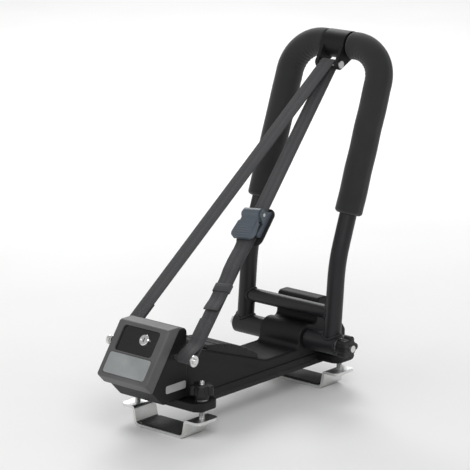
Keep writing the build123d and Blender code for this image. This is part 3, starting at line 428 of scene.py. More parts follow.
class Graph:
    """Node tree of one material, with its surface shader ready."""

    def __init__(self, name: str) -> None:
        """Start a material.

        Args:
            name: name of the material.
        """
        self.material = bpy.data.materials.new(name)
        self.material.use_nodes = True
        self.tree = self.material.node_tree
        self.tree.nodes.clear()
        self.shader = self.add("ShaderNodeBsdfPrincipled")
        output = self.add("ShaderNodeOutputMaterial")
        self.tree.links.new(self.shader.outputs["BSDF"], output.inputs["Surface"])

    def add(self, kind: str, **settings: object) -> bpy.types.Node:
        """Add a node and set its properties.

        Args:
            kind: type of the node.
            settings: its properties by name.

        Returns:
            The new node.
        """
        node = self.tree.nodes.new(kind)
        for key, value in settings.items():
            setattr(node, key, value)
        return node

    def feed(self, node: bpy.types.Node, name: str | int, value: object) -> None:
        """Set an input to a number or colour, or link it to another node's output.

        Args:
            node: node that takes the value.
            name: name or number of the input.
            value: number, colour or output.
        """
        socket = node.inputs[name]
        if isinstance(value, Socket):
            self.tree.links.new(value, socket)
        else:
            socket.default_value = value

    def shade(self, name: str, value: object) -> None:
        """Set or link one input of the surface shader."""
        self.feed(self.shader, name, value)

    def calc(self, operation: str, a: object, b: object = 0.0) -> Socket:
        """Result of one sum.

        Args:
            operation: name of the sum.
            a: first number or result.
            b: second number or result.

        Returns:
            The output with the result.
        """
        node = self.add("ShaderNodeMath", operation=operation)
        self.feed(node, 0, a)
        self.feed(node, 1, b)
        return node.outputs[0]

    def weigh(self, a: Socket, times_a: float, b: Socket, times_b: float) -> Socket:
        """Sum of two results, each times a number."""
        first, second = self.calc("MULTIPLY", a, times_a), self.calc("MULTIPLY", b, times_b)
        return self.calc("ADD", first, second)

    def wave(self, length: Socket, pitch: float) -> Socket:
        """Sine of a length, one wave to a pitch."""
        return self.calc("SINE", self.calc("MULTIPLY", length, TURN / pitch))

    def place(self) -> Socket:
        """The point's own place on the object."""
        return self.add("ShaderNodeTexCoord").outputs["Object"]

    def noise(self, scale: float, detail: float = 3.0, stretch: Point = (1, 1, 1)) -> Socket:
        """Cloudy value.

        Args:
            scale: cells in a metre.
            detail: finer layers that are added.
            stretch: factor on the scale along each axis.

        Returns:
            The output, from 0 to 1.
        """
        mapping = self.add("ShaderNodeMapping")
        self.feed(mapping, "Vector", self.place())
        self.feed(mapping, "Scale", stretch)
        node = self.add("ShaderNodeTexNoise")
        self.feed(node, "Vector", mapping.outputs[0])
        self.feed(node, "Scale", scale)
        self.feed(node, "Detail", detail)
        return node.outputs["Fac"]

    def pores(self, scale: float) -> Socket:
        """Distance to the nearest of scattered points.

        Args:
            scale: points in a metre.

        Returns:
            The output with the distance.
        """
        node = self.add("ShaderNodeTexVoronoi")
        self.feed(node, "Vector", self.place())
        self.feed(node, "Scale", scale)
        return node.outputs["Distance"]

    def worn(self, radius: float, gain: float) -> Socket:
        """Patchy wear along edges: how far a rounded normal leaves the true one.

        Args:
            radius: width of the edge, in metres.
            gain: factor on the wear.

        Returns:
            The output, 0 on smooth faces and up to 1 on edges.
        """
        bevel = self.add("ShaderNodeBevel", samples=WEAR_SAMPLES)
        self.feed(bevel, "Radius", radius)
        dot = self.add("ShaderNodeVectorMath", operation="DOT_PRODUCT")
        self.feed(dot, 0, bevel.outputs[0])
        self.feed(dot, 1, self.add("ShaderNodeNewGeometry").outputs["Normal"])
        lost = self.calc("SUBTRACT", 1.0, dot.outputs["Value"])
        patches = self.noise(*WEAR_PATCHES)
        wear = self.calc("MULTIPLY", self.calc("MULTIPLY", lost, gain), patches)
        return self.calc("MINIMUM", wear, 1.0)

    def ramp(self, fac: Socket, low: Colour, high: Colour, span: Pair = (0.3, 0.7)) -> Socket:
        """Colour between two.

        Args:
            fac: value that chooses the colour.
            low: colour up to the span's first end.
            high: colour from the span's second end.
            span: values between which the colour changes.

        Returns:
            The output with the colour.
        """
        node = self.add("ShaderNodeValToRGB")
        for element, position, colour in zip(node.color_ramp.elements, span, (low, high)):
            element.position = position
            element.color = (*colour, 1.0)
        self.feed(node, "Fac", fac)
        return node.outputs["Color"]

    def blend(self, fac: Socket, low: Socket, high: Colour) -> Socket:
        """Mix of a colour output and a colour.

        Args:
            fac: share of the second.
            low: first colour.
            high: second colour.

        Returns:
            The output with the mix.
        """
        node = self.add("ShaderNodeMix", data_type="RGBA")
        inputs = {socket.name: socket for socket in node.inputs if socket.enabled}
        self.tree.links.new(fac, inputs["Factor"])
        self.tree.links.new(low, inputs["A"])
        inputs["B"].default_value = (*high, 1.0)
        return next(socket for socket in node.outputs if socket.enabled)

    def roughen(self, fac: Socket, low: float, high: float) -> None:
        """Let the roughness follow a value.

        Args:
            fac: value from 0 to 1.
            low: roughness at 0.
            high: roughness at 1.
        """
        node = self.add("ShaderNodeMapRange")
        for name, value in (("Value", fac), ("To Min", low), ("To Max", high)):
            self.feed(node, name, value)
        self.shade("Roughness", node.outputs[0])

    def relief(self, height: Socket, depth: float, strength: float) -> None:
        """Raise the surface.

        Args:
            height: value from 0 to 1.
            depth: rise at 1, in metres.
            strength: share of the relief that shows.
        """
        node = self.add("ShaderNodeBump")
        for name, value in (("Height", height), ("Distance", depth), ("Strength", strength)):
            self.feed(node, name, value)
        self.shade("Normal", node.outputs[0])


def lighter(colour: Colour, times: float) -> Colour:
    """A colour made lighter or darker by a factor."""
    return tuple(min(1.0, part * times) for part in colour)


def shades(colour: Colour, times: Pair) -> tuple[Colour, Colour]:
    """A darker and a lighter shade of a colour."""
    return lighter(colour, times[0]), lighter(colour, times[1])


@dataclass(frozen=True)
class Moulded:
    """Grained moulded plastic, paler where edges are rubbed.

    Clouds are cells in a metre with their detail, edges a width in metres with a gain.
    """

    name: str
    colour: Colour
    roughness: float = 0.5
    grain: float = 1400.0
    depth: float = 0.00006
    rub: float = 1.9
    specular: float = 0.5
    grain_detail: float = 2.0
    strength: float = 0.6
    uneven: Pair = (0.86, 1.14)
    duller: Pair = (-0.06, 0.10)
    clouds: Pair = (22.0, 5.0)
    edges: Pair = (0.0012, 2.2)

    def material(self) -> bpy.types.Material:
        """Build the material.

        Returns:
            The material, with colour, roughness and relief set.
        """
        graph = Graph(self.name)
        body = graph.ramp(graph.noise(*self.clouds), *shades(self.colour, self.uneven))
        rubbed = lighter(self.colour, self.rub)
        graph.shade("Base Color", graph.blend(graph.worn(*self.edges), body, rubbed))
        speck = graph.noise(self.grain, self.grain_detail)
        graph.roughen(speck, self.roughness + self.duller[0], self.roughness + self.duller[1])
        graph.shade("Specular IOR Level", self.specular)
        graph.relief(speck, self.depth, self.strength)
        return graph.material


@dataclass(frozen=True)
class PowderCoat(Moulded):
    """Powder-coated steel: low orange peel for a grain, a little gloss, thin at edges."""

    roughness: float = 0.4
    grain: float = 520.0
    depth: float = 0.00012
    rub: float = 2.4
    specular: float = 0.4
    strength: float = 0.5
    uneven: Pair = (0.9, 1.15)
    duller: Pair = (-0.08, 0.12)
    clouds: Pair = (16.0, 3.0)
    edges: Pair = (0.001, 1.6)


@dataclass(frozen=True)
class Plated:
    """Plated metal: streaked gloss and slight tints from the bath."""

    name: str
    colour: Colour
    tint: Colour
    roughness: float
    streak: Point = (1, 6, 1)
    streaks: Pair = (240.0, 4.0)
    depth: float = 0.00002
    strength: float = 0.35
    duller: Pair = (0.7, 1.4)
    clouds: Pair = (60.0, 4.0)

    def material(self) -> bpy.types.Material:
        """Build the material.

        Returns:
            The material, with colour, roughness and relief set.
        """
        graph = Graph(self.name)
        cloud = graph.noise(*self.clouds)
        graph.shade("Base Color", graph.ramp(cloud, self.colour, self.tint))
        graph.shade("Metallic", 1.0)
        streaks = graph.noise(*self.streaks, self.streak)
        graph.roughen(streaks, self.roughness * self.duller[0], self.roughness * self.duller[1])
        graph.relief(streaks, self.depth, self.strength)
        return graph.material


@dataclass(frozen=True)
class Rubbery:
    """Matt rubber or closed-cell foam: fine open pores and a dusty sheen."""

    name: str
    colour: Colour
    pores: float = 1500.0
    depth: float = 0.00012
    sheen: float = 0.15
    roughness: float = 0.72
    strength: float = 0.7
    specular: float = 0.3
    sheen_roughness: float = 0.5
    swell: float = 0.6
    uneven: Pair = (0.82, 1.25)
    duller: Pair = (-0.06, 0.12)
    clouds: Pair = (30.0, 5.0)

    def material(self) -> bpy.types.Material:
        """Build the material.

        Returns:
            The material, with colour, roughness, sheen and relief set.
        """
        graph = Graph(self.name)
        cloud = graph.noise(*self.clouds)
        graph.shade("Base Color", graph.ramp(cloud, *shades(self.colour, self.uneven)))
        graph.roughen(cloud, self.roughness + self.duller[0], self.roughness + self.duller[1])
        graph.shade("Specular IOR Level", self.specular)
        graph.shade("Sheen Weight", self.sheen)
        graph.shade("Sheen Roughness", self.sheen_roughness)
        swell = graph.calc("MULTIPLY", cloud, self.swell)
        height = graph.calc("ADD", graph.pores(self.pores), swell)
        graph.relief(height, self.depth, self.strength)
        return graph.material


@dataclass(frozen=True)
class Webbing:
    """Woven webbing: slanting ribs that meet in chevrons, crossed by yarns along the band.

    Its colour has painted shade in the weave's hollows and painted light on its ribs.
    """

    name: str
    colour: Colour
    rib: float = 0.0030
    pick: float = 0.0014
    chevron: float = 1.6
    yarns: float = 2.5
    rib_height: float = 0.36
    yarn_height: float = 0.2
    middle: float = 0.5
    # share of the weave's height in the colour: painted shade in the hollows, painted light on the
    # ribs
    weave_share: float = 0.8
    fibre_share: float = 0.3
    fibres: Pair = (2600.0, 3.0)
    # darkest and lightest shade: painted shade in the weave's hollows, painted light on its ribs,
    # with the fibres' own random tone between
    uneven: Pair = (0.35, 1.75)
    span: Pair = (0.15, 0.95)
    fade: float = 1.05
    fades: Pair = (40.0, 4.0)
    roughness: Pair = (0.6, 0.85)
    sheen: float = 0.2
    depth: float = 0.00035
    strength: float = 0.8

    def material(self) -> bpy.types.Material:
        """Build the material from the piece's own lengths along and across.

        Returns:
            The material, with colour, roughness, sheen and relief set; the colour carries painted
            shade and painted light from the weave.
        """
        graph = Graph(self.name)
        split = graph.add("ShaderNodeSeparateXYZ")
        graph.feed(split, 0, graph.add("ShaderNodeUVMap", uv_map="cloth").outputs[0])
        along, across = split.outputs[0], split.outputs[1]
        slant = graph.calc("PINGPONG", across, self.rib * self.chevron)
        ribs = graph.wave(graph.calc("ADD", along, slant), self.pick)
        yarns = graph.wave(across, self.rib / self.yarns)
        weave = graph.weigh(ribs, self.rib_height, yarns, self.yarn_height)
        height = graph.calc("ADD", weave, self.middle)
        fibres = graph.noise(*self.fibres)
        # painted shade and light: the weave's height darkens the colour in its hollows and
        # lightens it on its ribs, mixed with the fibres' own random tone
        weave_shade_and_fibre_tone = graph.weigh(height, self.weave_share, fibres, self.fibre_share)
        body = graph.ramp(weave_shade_and_fibre_tone, *shades(self.colour, self.uneven), self.span)
        faded = graph.blend(graph.noise(*self.fades), body, lighter(self.colour, self.fade))
        graph.shade("Base Color", faded)
        graph.roughen(fibres, *self.roughness)
        graph.shade("Sheen Weight", self.sheen)
        graph.relief(height, self.depth, self.strength)
        return graph.material


class Finish(Enum):
    """Every finish of the carrier."""

    BLACK = Moulded("black_moulding", (0.007, 0.007, 0.008), 0.50, rub=2.6, specular=0.25)
    BEZEL = Moulded("grey_bezel", (0.085, 0.083, 0.086), 0.46, 1700.0, 0.00004, 1.35)
    PADDLE = Moulded("pale_paddle", (0.27, 0.285, 0.285), 0.40, 1900.0, 0.00003, 1.15)
    WINDOW = Moulded("gloss_window", (0.007, 0.007, 0.008), 0.16, 300.0, 0.00001, 3.0)
    KNOB = Moulded("knob_nylon", (0.010, 0.010, 0.011), 0.44, 900.0, 0.00007, 2.2, 0.35)
    NYLON = Moulded("bush_nylon", (0.55, 0.54, 0.50), 0.42, 500.0, 0.00003, 1.1)
    LABEL = Moulded("label_inlay", (0.33, 0.33, 0.33), 0.34, 700.0, 0.00002, 1.2)
    TUBE = PowderCoat("tube_powder_coat", (0.010, 0.010, 0.012))
    BUCKLE = PowderCoat("buckle_coat", (0.080, 0.098, 0.118), 0.36)
    ZINC = Plated("bright_zinc", (0.66, 0.66, 0.63), (0.74, 0.75, 0.76), 0.30)
    CHROME = Plated("chrome_plate", (0.78, 0.78, 0.79), (0.84, 0.84, 0.85), 0.09)
    RUBBER = Rubbery("pad_rubber", (0.015, 0.015, 0.016), 900.0, 0.00008, 0.06, 0.66)
    FOAM = Rubbery("sleeve_foam", (0.017, 0.017, 0.018), 1300.0, 0.00018, 0.22)
    WEB = Webbing("black_webbing", (0.038, 0.038, 0.042))
    THREAD = Moulded("stitch_thread", (0.10, 0.10, 0.105), 0.6, 2600.0, 0.00005, 1.3)


COVERS: dict[Finish, tuple[str, ...]] = {
    Finish.BLACK: ("base_beam", "clamp_bridges", "nose_housing", "strap_guide"),
    Finish.BEZEL: ("nose_bezel",),
    Finish.PADDLE: ("release_paddle",),
    Finish.WINDOW: ("lock_plate",),
    Finish.CHROME: ("lock_barrel", "lock_rotor"),
    Finish.TUBE: ("arm_bow",),
    Finish.BUCKLE: ("buckle_frame", "buckle_lever"),
    Finish.NYLON: ("pivot_bushes",),
    Finish.RUBBER: (
        "bar_seat",
        "lower_pad",
        "heel_bumper",
        "buckle_pad",
        "outer_jaw_liner",
        "inner_jaw_liner",
    ),
    Finish.FOAM: ("sleeve_front", "sleeve_rear"),
    Finish.WEB: ("strap", "strap_tether"),
}


class Finishes:
    """Materials of all finishes, built once, and the pieces that take them."""

    def __init__(self) -> None:
        """Build every material."""
        self.made = {finish: finish.value.material() for finish in Finish}

    def put(self, piece: Piece, finish: Finish) -> None:
        """Give a piece one finish alone."""
        piece.data.materials.clear()
        piece.data.materials.append(self.made[finish])

    def dress(self) -> None:
        """Give every CAD node its finish: knobs are nylon, and what isn't listed is zinc."""
        listed = {node: finish for finish, nodes in COVERS.items() for node in nodes}
        for name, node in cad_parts.items():
            spare = Finish.KNOB if "_knob" in name else Finish.ZINC
            self.put(node, listed.get(name, spare))

    def add(
        self,
        piece: Piece,
        finish: Finish,
        slot: Slot,
        body: str | None = None,
        stands_for: str | None = None,
    ) -> None:
        """Finish a new piece and report it.

        Args:
            piece: the piece, with its mesh final.
            finish: its finish.
            slot: its material slot; not used.
            body: body that it rides on, if it is rigid.
            stands_for: CAD node that it replaces, if any.
        """
        if stands_for:
            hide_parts(stands_for)
        self.put(piece, finish)
        if body:
            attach(piece, body)
        LOG.info("%s: %d faces", piece.name, len(piece.data.polygons))


# ---------------------------------------------------------------- sub-assemblies, in metres


@dataclass(frozen=True)
class Dressing:
    """A sub-assembly that makes its pieces and dresses them with the carrier's finishes."""

    finishes: Finishes

    def build(self) -> None:
        """Make the pieces."""
        raise NotImplementedError


@dataclass(frozen=True)
class ArmLine:
    """Centre lines of the folding bow."""

    hinge: Point = (0.105, 0.0, 0.044)
    knee: Point = (0.115459, 0.0, 0.163543)
    arch: Point = (0.221485, 0.0, 0.454848)
    leg_y: float = 0.082
    corner: float = 0.050
    tube: float = 0.0125

    @property
    def lower(self) -> Array:
        """Direction of the lower legs."""
        return unit(np.subtract(self.knee, self.hinge))

    @property
    def upper(self) -> Array:
        """Direction of the upper legs."""
        return unit(np.subtract(self.arch, self.knee))


@dataclass(frozen=True)
class SleevePadding(Dressing):
    """Foam sleeve round one leg and corner of the bow."""

    side: Side
    line: ArmLine = ArmLine()
    start: float = 0.070
    radius: float = 0.020
    bore: float = 0.0126
    lip: float = 0.0006
    gap_y: float = 0.0205
    roll: float = 0.005
    ripple_depth: float = 0.0006
    ripple_pitch: float = 0.0085
    ripple_reach: float = 0.035
    lump_depth: float = 0.00025
    lump_pitch: float = 0.061
    lump_turn: Pair = (1.3, 0.7)
    seam_depth: float = 0.0006
    seam_angle: float = 0.05
    girth: float = 0.125
    join: float = 0.001
    sides: int = 48

    def path(self) -> tuple[Array, Array]:
        """Centre line up the leg, round the corner and along the arch.

        Returns:
            Points, closer where the ends roll in, and how far each lies within the corner,
            from 0 to 1.
        """
        line, out = self.line, self.side * Y_AXIS
        foot = np.array(line.knee) + line.leg_y * out + line.upper * self.start
        top = np.array(line.arch) + line.leg_y * out
        length = float(np.linalg.norm(top - foot)) - line.corner
        centre = foot + line.upper * length - line.corner * out
        close = self.roll * (1 - np.cos(np.linspace(0, QUARTER, 9)))
        rise = np.concatenate([close, np.linspace(self.roll, length, 94)[1:]])
        leg = foot + line.upper * rise[:, None]
        turn = np.linspace(0, QUARTER, 42)[1:, None]
        bend = centre + line.corner * (out * np.cos(turn) + line.upper * np.sin(turn))
        end = np.linspace(line.leg_y - line.corner, self.gap_y + self.roll, 5)[1:-1]
        end = np.concatenate([end, self.gap_y + close[::-1]])
        arch = np.array(line.arch) + out * end[:, None]
        points = np.concatenate([leg, bend, arch])
        bend_mid = length + line.corner * QUARTER / 2
        inside = np.exp(-(((run_length(points) - bend_mid) / self.ripple_reach) ** 2))
        return points, inside

    def build(self) -> None:
        """Make the sleeve: outer skin out, inner skin back, ends rolled in.

        The radius is the sleeve's, less a rolled edge at each end and a moulding seam along the
        back, plus long low lumps and a sine ripple on the inside of the bend.
        """
        path, inside = self.path()
        s = run_length(path)
        from_end = np.minimum(s, s[-1] - s)
        rim = np.sqrt(np.clip(1 - np.clip(1 - from_end / self.roll, 0, 1) ** 2, 0, 1))[:, None]
        turn = circle(self.sides)[:-1]
        flat = unit(np.cross(self.line.upper, Y_AXIS))
        inward = np.cross(tangents(path), flat) * self.side
        radial = np.cos(turn)[:, None] * inward[:, None] + np.sin(turn)[:, None] * flat
        ripples = np.sin(s * TURN / self.ripple_pitch) * inside
        ripple = self.ripple_depth * np.outer(ripples, np.clip(np.cos(turn), 0, 1) ** 2)
        lumps = np.sin(s * TURN / self.lump_pitch + self.lump_turn[0])
        lump = self.lump_depth * np.outer(lumps, np.cos(turn - self.lump_turn[1]))
        from_seam = np.angle(np.exp(1j * (turn - math.pi)))
        seam = self.seam_depth * np.exp(-((from_seam / self.seam_angle) ** 2))
        least = self.bore + self.lip
        outer = least + (self.radius - least + ripple + lump - seam) * rim
        skins = [path[:, None] + radial * outer[..., None], path[:, None] + radial * self.bore]
        points = np.concatenate([skins[0], skins[1][::-1]])
        along = np.concatenate([s, s[-1] + s, [2 * s[-1] + self.join]])
        shape = Grid(points, along, np.linspace(0, self.girth, self.sides + 1))
        name = f"sleeve_{self.side.word}"
        sleeve = shape.write(f"{name}_foam")
        self.finishes.add(sleeve, Finish.FOAM, Slot.FOAM, "arm", name)


@dataclass(frozen=True)
class CradlePad(Dressing):
    """Crowned rubber pad with cross grooves on the sloping top of the base."""

    middle: Point = (-0.057, 0.0, 0.0565)
    run: Point = (0.9466, 0.0, -0.3224)
    half: float = 0.0569
    half_width: float = 0.035
    crown: float = 0.014
    lip: float = 0.0063
    pitch: float = 0.015
    grooves: int = 6
    groove_depth: float = 0.0021
    groove_half: float = 0.0017
    pillow: float = 0.0005
    corner: float = 0.003
    end_run: float = 0.003
    end_drop: float = 0.0024
    seat: float = 0.0002

    def height(self, a: Array) -> Array:
        """Top of the pad: an arc, less a rounded groove at each pitch and a dip towards it.

        Args:
            a: distances from the pad's middle along the slope.

        Returns:
            Heights over the slope.
        """
        rise = self.crown - self.lip
        radius = (self.half**2 + rise**2) / (2 * rise)
        bow = self.crown - (radius - np.sqrt(radius**2 - a**2))
        marks = (np.arange(self.grooves) - (self.grooves - 1) / 2) * self.pitch
        off = np.abs(a[:, None] - marks).min(axis=1)
        groove = self.groove_depth * np.exp(-((off / self.groove_half) ** 4))
        dip = self.pillow * (1 - np.clip(off / (self.pitch / 2), 0, 1) ** 2)
        return bow - groove - dip

    def build(self) -> None:
        """Make the pad: a section, flat below with rounded upper corners, along the slope."""
        a = np.linspace(-self.half, self.half, 260)
        end = ease(np.abs(a), (self.half, self.half - self.end_run))
        top = self.height(a) - self.end_drop * (1 - end)
        turn = np.linspace(0, QUARTER, 6)
        level = self.half_width - self.corner
        edge = np.append(self.half_width, level + self.corner * np.cos(turn))
        fall = np.append(self.crown, self.corner * (1 - np.sin(turn)))
        flat = np.linspace(level, -level, 22)[1:-1]
        y = np.concatenate([edge, flat, -edge[::-1]])
        drop = np.concatenate([fall, np.zeros_like(flat), fall[::-1]])
        z = top[:, None] - drop
        z[:, [0, -1]] = self.seat
        axis = unit(np.array(self.run))
        up = np.array([-axis[2], 0.0, axis[0]])
        on_slope = np.array(self.middle) + a[:, None, None] * axis + z[..., None] * up
        around = run_length(closed_up(np.stack([y, drop], axis=-1)))
        shape = Grid(on_slope + y[:, None] * Y_AXIS, a + self.half, around, caps=True)
        pad = shape.write("cradle_pad_rubber")
        self.finishes.add(pad, Finish.RUBBER, Slot.RUBBER, "base", "lower_pad")


@dataclass(frozen=True)
class StrapLine:
    """Pins, directions and sizes that the webbing follows.

    Pairs along the front strand are distances from the buckle, upwards.
    """

    pin: Point = (-0.181812, 0.0, 0.083140)
    bar: Point = (0.195013, 0.0, 0.430450)
    pin_y: float = 0.061
    wrap: float = 0.00515
    width: float = 0.025
    thick: float = 0.0019
    layer: float = 0.0021
    place: float = 0.45
    bar_back: float = 0.018
    bar_wrap: float = 0.0031
    tail: float = 0.150
    hold: Pair = (-0.040, 0.031)
    dip: Pair = (-0.070, -0.020)
    pin_twist: float = 0.07
    bar_twist: float = 0.05

    @property
    def run(self) -> float:
        """Distance between the two pins, seen from the side."""
        return float(np.linalg.norm(np.subtract(self.bar, self.pin)))

    @property
    def slant(self) -> float:
        """Length of one strand, which runs from its side to the middle."""
        return math.hypot(self.run, self.pin_y)

    @property
    def along(self) -> Array:
        """Direction from the strap pin to the strap bar."""
        return unit(np.subtract(self.bar, self.pin))

    @property
    def outward(self) -> Array:
        """Direction across the strap, away from the cradle."""
        return np.array([-self.along[2], 0.0, self.along[0]])

    @property
    def buckle(self) -> Array:
        """Point of the front strand under the cam."""
        low = np.array(self.pin) - self.outward * self.wrap - self.pin_y * Y_AXIS
        return low + (self.along * self.run + self.pin_y * Y_AXIS) * self.place

    def strand(self, side: Side) -> Array:
        """Direction of one strand, from its pin loop to the bar."""
        return unit(self.along * self.run - side * self.pin_y * Y_AXIS)

    def across(self, side: Side) -> Array:
        """Width direction of one strand."""
        return np.cross(self.outward, self.strand(side))

    def at(self, s: Number, z: Number, side: Side) -> Array:
        """Points on the slant of one strand.

        Args:
            s: distances from the pin.
            z: offsets outwards.
            side: strand that they are on.

        Returns:
            The points, (n, 3), or one point for single numbers.
        """
        s, z = np.asarray(s)[..., None], np.asarray(z)[..., None]
        y = side * self.pin_y * (1 - np.clip(s / self.run, 0, 1))
        return np.array(self.pin) + s * self.along + z * self.outward + y * Y_AXIS

    def near_buckle(self, x: Number, z: Number) -> Array:
        """Points along and above the front strand, counted from the buckle."""
        x, z = np.asarray(x)[..., None], np.asarray(z)[..., None]
        return self.buckle + x * self.strand(Side.FRONT) + z * self.outward

    def share(self, x: float) -> float:
        """Share of the run between the pins at a distance from the buckle."""
        return self.place + x / self.slant

    def on_run(self, share: float) -> Point:
        """Point at a share of the line between the two pins."""
        pin, bar = np.array(self.pin), np.array(self.bar)
        return tuple((pin + (bar - pin) * share).tolist())

    def tether_z(self, x: Number) -> Number:
        """Offset of the tether, which dips below the buckle's rear bar."""
        return -self.bar_wrap * ease(x, self.dip)

    def width_dirs(self, path: Array, side: Side) -> Array:
        """Width directions: square to the pins at both ends, to the strand between.

        Args:
            path: points of the webbing, (n, 3).
            side: strand that they are on.

        Returns:
            A unit vector for each point, (n, 3).
        """
        s = (path - np.array(self.pin)) @ self.along
        low = ease(s, (0.0, self.pin_twist))
        share = (low * ease(s, (self.run, self.run - self.bar_twist)))[:, None]
        return unit(Y_AXIS * (1 - share) + self.across(side) * share)


@dataclass(frozen=True)
class CinchStrap(Dressing):
    """Both webbings of the cinch strap, their sewn ends and the tail keeper.

    Spans are distances along the strand, from the pin for the laps and from the buckle for the
    rest, between which a change of height goes from nothing to all.
    """

    line: StrapLine = StrapLine()
    clear: float = 0.004
    lap: float = 0.068
    lap_span: Pair = (0.030, 0.002)
    cam_near: float = 0.002
    cam_rise: float = 0.0055
    cam_span: Pair = (0.001, -0.009)
    fall_span: Pair = (-0.022, -0.048)
    step_span: Pair = (-0.098, -0.078)
    flick: float = 0.003
    flick_span: Pair = (-0.128, -0.150)
    bar_gap: Pair = (0.001, 0.002)
    bar_lap: float = 0.076
    bar_layer: float = 0.0020
    bar_span: Pair = (-0.018, -0.045)
    seam_half: Pair = (0.0135, 0.0092)
    pin_seam: float = 0.050
    bar_seam: float = -0.060
    stitch_pitch: float = 0.0031
    stitch: Pair = (0.0024, 0.00032)
    proud: float = 0.00005
    keeper_place: Pair = (-0.112, 0.0011)
    keeper_play: float = 0.0026
    keeper_oval: Pair = (0.0066, 0.0030)
    keeper_band: Pair = (0.0060, 0.0006)
    keeper_girth: float = 0.026

    def bend(
        self,
        piece: Piece,
        stretch: Stretch,
        finish: Finish = Finish.WEB,
        stands_for: str | None = None,
    ) -> None:
        """Finish a piece of the strap and bake its place into its mesh.

        The shares of the run between the pins at both ends of its stretch are worked out, but
        nothing uses them.

        Args:
            piece: the piece, with its mesh final.
            stretch: the stretch of the strap that it belongs to.
            finish: its finish.
            stands_for: CAD node that it replaces, if any.
        """
        line = self.line
        self.finishes.add(piece, finish, Slot.WEBBING, stands_for=stands_for)
        start, end = 0.0, line.share(line.hold[0])
        if stretch is Stretch.ARM:
            start, end = (line.share(line.hold[1]) - line.place) / (1 - line.place), 1.0
        line.on_run(start)
        line.on_run(end)
        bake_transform(piece)

    def pin_end(self, side: Side) -> Array:
        """Line of a sewn end and its loop.

        Args:
            side: strand that it is on.

        Returns:
            Points down the lap, across to the far side of the pin and round it, (n, 3).
        """
        line = self.line
        back = np.linspace(self.lap, self.lap_span[1], 26)
        cross = (2 * line.wrap - line.layer) * ease(back, self.lap_span)
        fold = side * (line.wrap - line.layer - cross)
        loop = arc((0.0, 0.0), line.wrap, -90 * side, -270 * side, 15)
        return np.concatenate([line.at(back, fold, side), line.at(*loop, side)])

    def long_path(self) -> Array:
        """Line of the long webbing down to the buckle.

        Returns:
            Points of the sewn end, the rear strand, the bar and the front strand, (n, 3).
        """
        line, rear = self.line, Side.REAR
        rise = np.linspace(self.clear, line.run - self.clear, 130)
        over = arc((line.run, 0.0), line.wrap, 90, -90, 15)
        x = np.linspace(line.slant * (1 - line.place) - self.clear, line.hold[1], 64)
        strands = [line.at(rise, line.wrap, rear), line.at(*over, rear), line.near_buckle(x, 0.0)]
        return np.concatenate([self.pin_end(rear), *strands])

    def tail_path(self) -> Array:
        """Line of the long webbing from above the buckle to the tail's end.

        Returns:
            Points over the cam's seat, down on the tether and off it at the end, (n, 3).
        """
        line = self.line
        inside = np.linspace(line.hold[1], self.cam_near, 9)
        x = np.concatenate([inside, np.linspace(0, -line.tail, 76)])
        lift = self.cam_rise * ease(x, self.cam_span)
        low = line.tether_z(x) + line.layer * (1 + ease(x, self.step_span))
        z = lift + (low - lift) * ease(x, self.fall_span)
        return line.near_buckle(x, z + self.flick * ease(x, self.flick_span))

    def short_path(self) -> Array:
        """Line of the tether.

        Returns:
            Points of the sewn end, the front strand, the buckle's bar and the lap, (n, 3).
        """
        line = self.line
        x = np.linspace(self.clear - line.slant * line.place, -line.bar_back - self.bar_gap[0], 70)
        hook = arc((-line.bar_back, 0.0), line.bar_wrap, -90, 90, 13)
        home = np.linspace(-line.bar_back - self.bar_gap[1], -self.bar_lap, 24)
        lay = line.tether_z(home) + self.bar_layer
        lap = line.bar_wrap + (lay - line.bar_wrap) * ease(home, self.bar_span)
        strand = line.near_buckle(x, line.tether_z(x))
        ends = [line.near_buckle(*hook), line.near_buckle(home, lap)]
        return np.concatenate([self.pin_end(Side.FRONT), strand, *ends])

    def webbings(self) -> None:
        """Make the long webbing in two stretches, which share their weave, and the tether."""
        line, front = self.line, Side.FRONT
        strap, tail, tether = self.long_path(), self.tail_path(), self.short_path()
        top = int(np.argmax(strap @ line.along))
        across = [line.width_dirs(strap[:top], Side.REAR), line.width_dirs(strap[top:], front)]
        lie = line.width_dirs(tether, front)
        woven = float(run_length(strap)[-1])
        bands = (
            ("strap_webbing", "strap", Stretch.ARM, strap, np.concatenate(across), 0.0),
            ("strap_tail", "strap", Stretch.BUCKLE, tail, line.width_dirs(tail, front), woven),
            ("tether_webbing", "strap_tether", Stretch.BUCKLE, tether, lie, 0.0),
        )
        for name, node, stretch, path, dirs, start in bands:
            piece = ribbon(path, dirs, line.width, line.thick, start).write(name)
            self.bend(piece, stretch, stands_for=node)

    def stitches(self, name: str, centre: Array, side: Side, stretch: Stretch) -> None:
        """Sew a box with a cross: short threads along the sides and diagonals of a rectangle.

        Args:
            name: name of the piece.
            centre: middle of the seam, on the face of the webbing.
            side: strand that it is on.
            stretch: stretch of the strap that it belongs to.
        """
        along, across = self.line.strand(side), self.line.across(side)
        corners = np.array([(-1, -1), (1, -1), (1, 1), (-1, 1)]) * self.seam_half
        spots, heads = [], []
        for first, last in ((0, 1), (1, 2), (2, 3), (3, 0), (0, 2), (1, 3)):
            start, way = corners[first], corners[last] - corners[first]
            count = int(np.linalg.norm(way) / self.stitch_pitch)
            share = (np.arange(count) + 0.5) / count
            spots.append(start + way * share[:, None])
            heads.append(np.repeat(unit(way)[None], count, axis=0))
        spot, head = np.concatenate(spots), np.concatenate(heads)
        up = np.cross(along, across)
        thread = head[:, :1] * along + head[:, 1:] * across
        axes = np.stack([thread, np.cross(up, thread), np.broadcast_to(up, thread.shape)], axis=1)
        places = centre + spot[:, :1] * along + spot[:, 1:] * across
        seam = copies(name, capsule(*self.stitch, sides=6, rings=5), places, axes)
        self.bend(seam, stretch, Finish.THREAD)

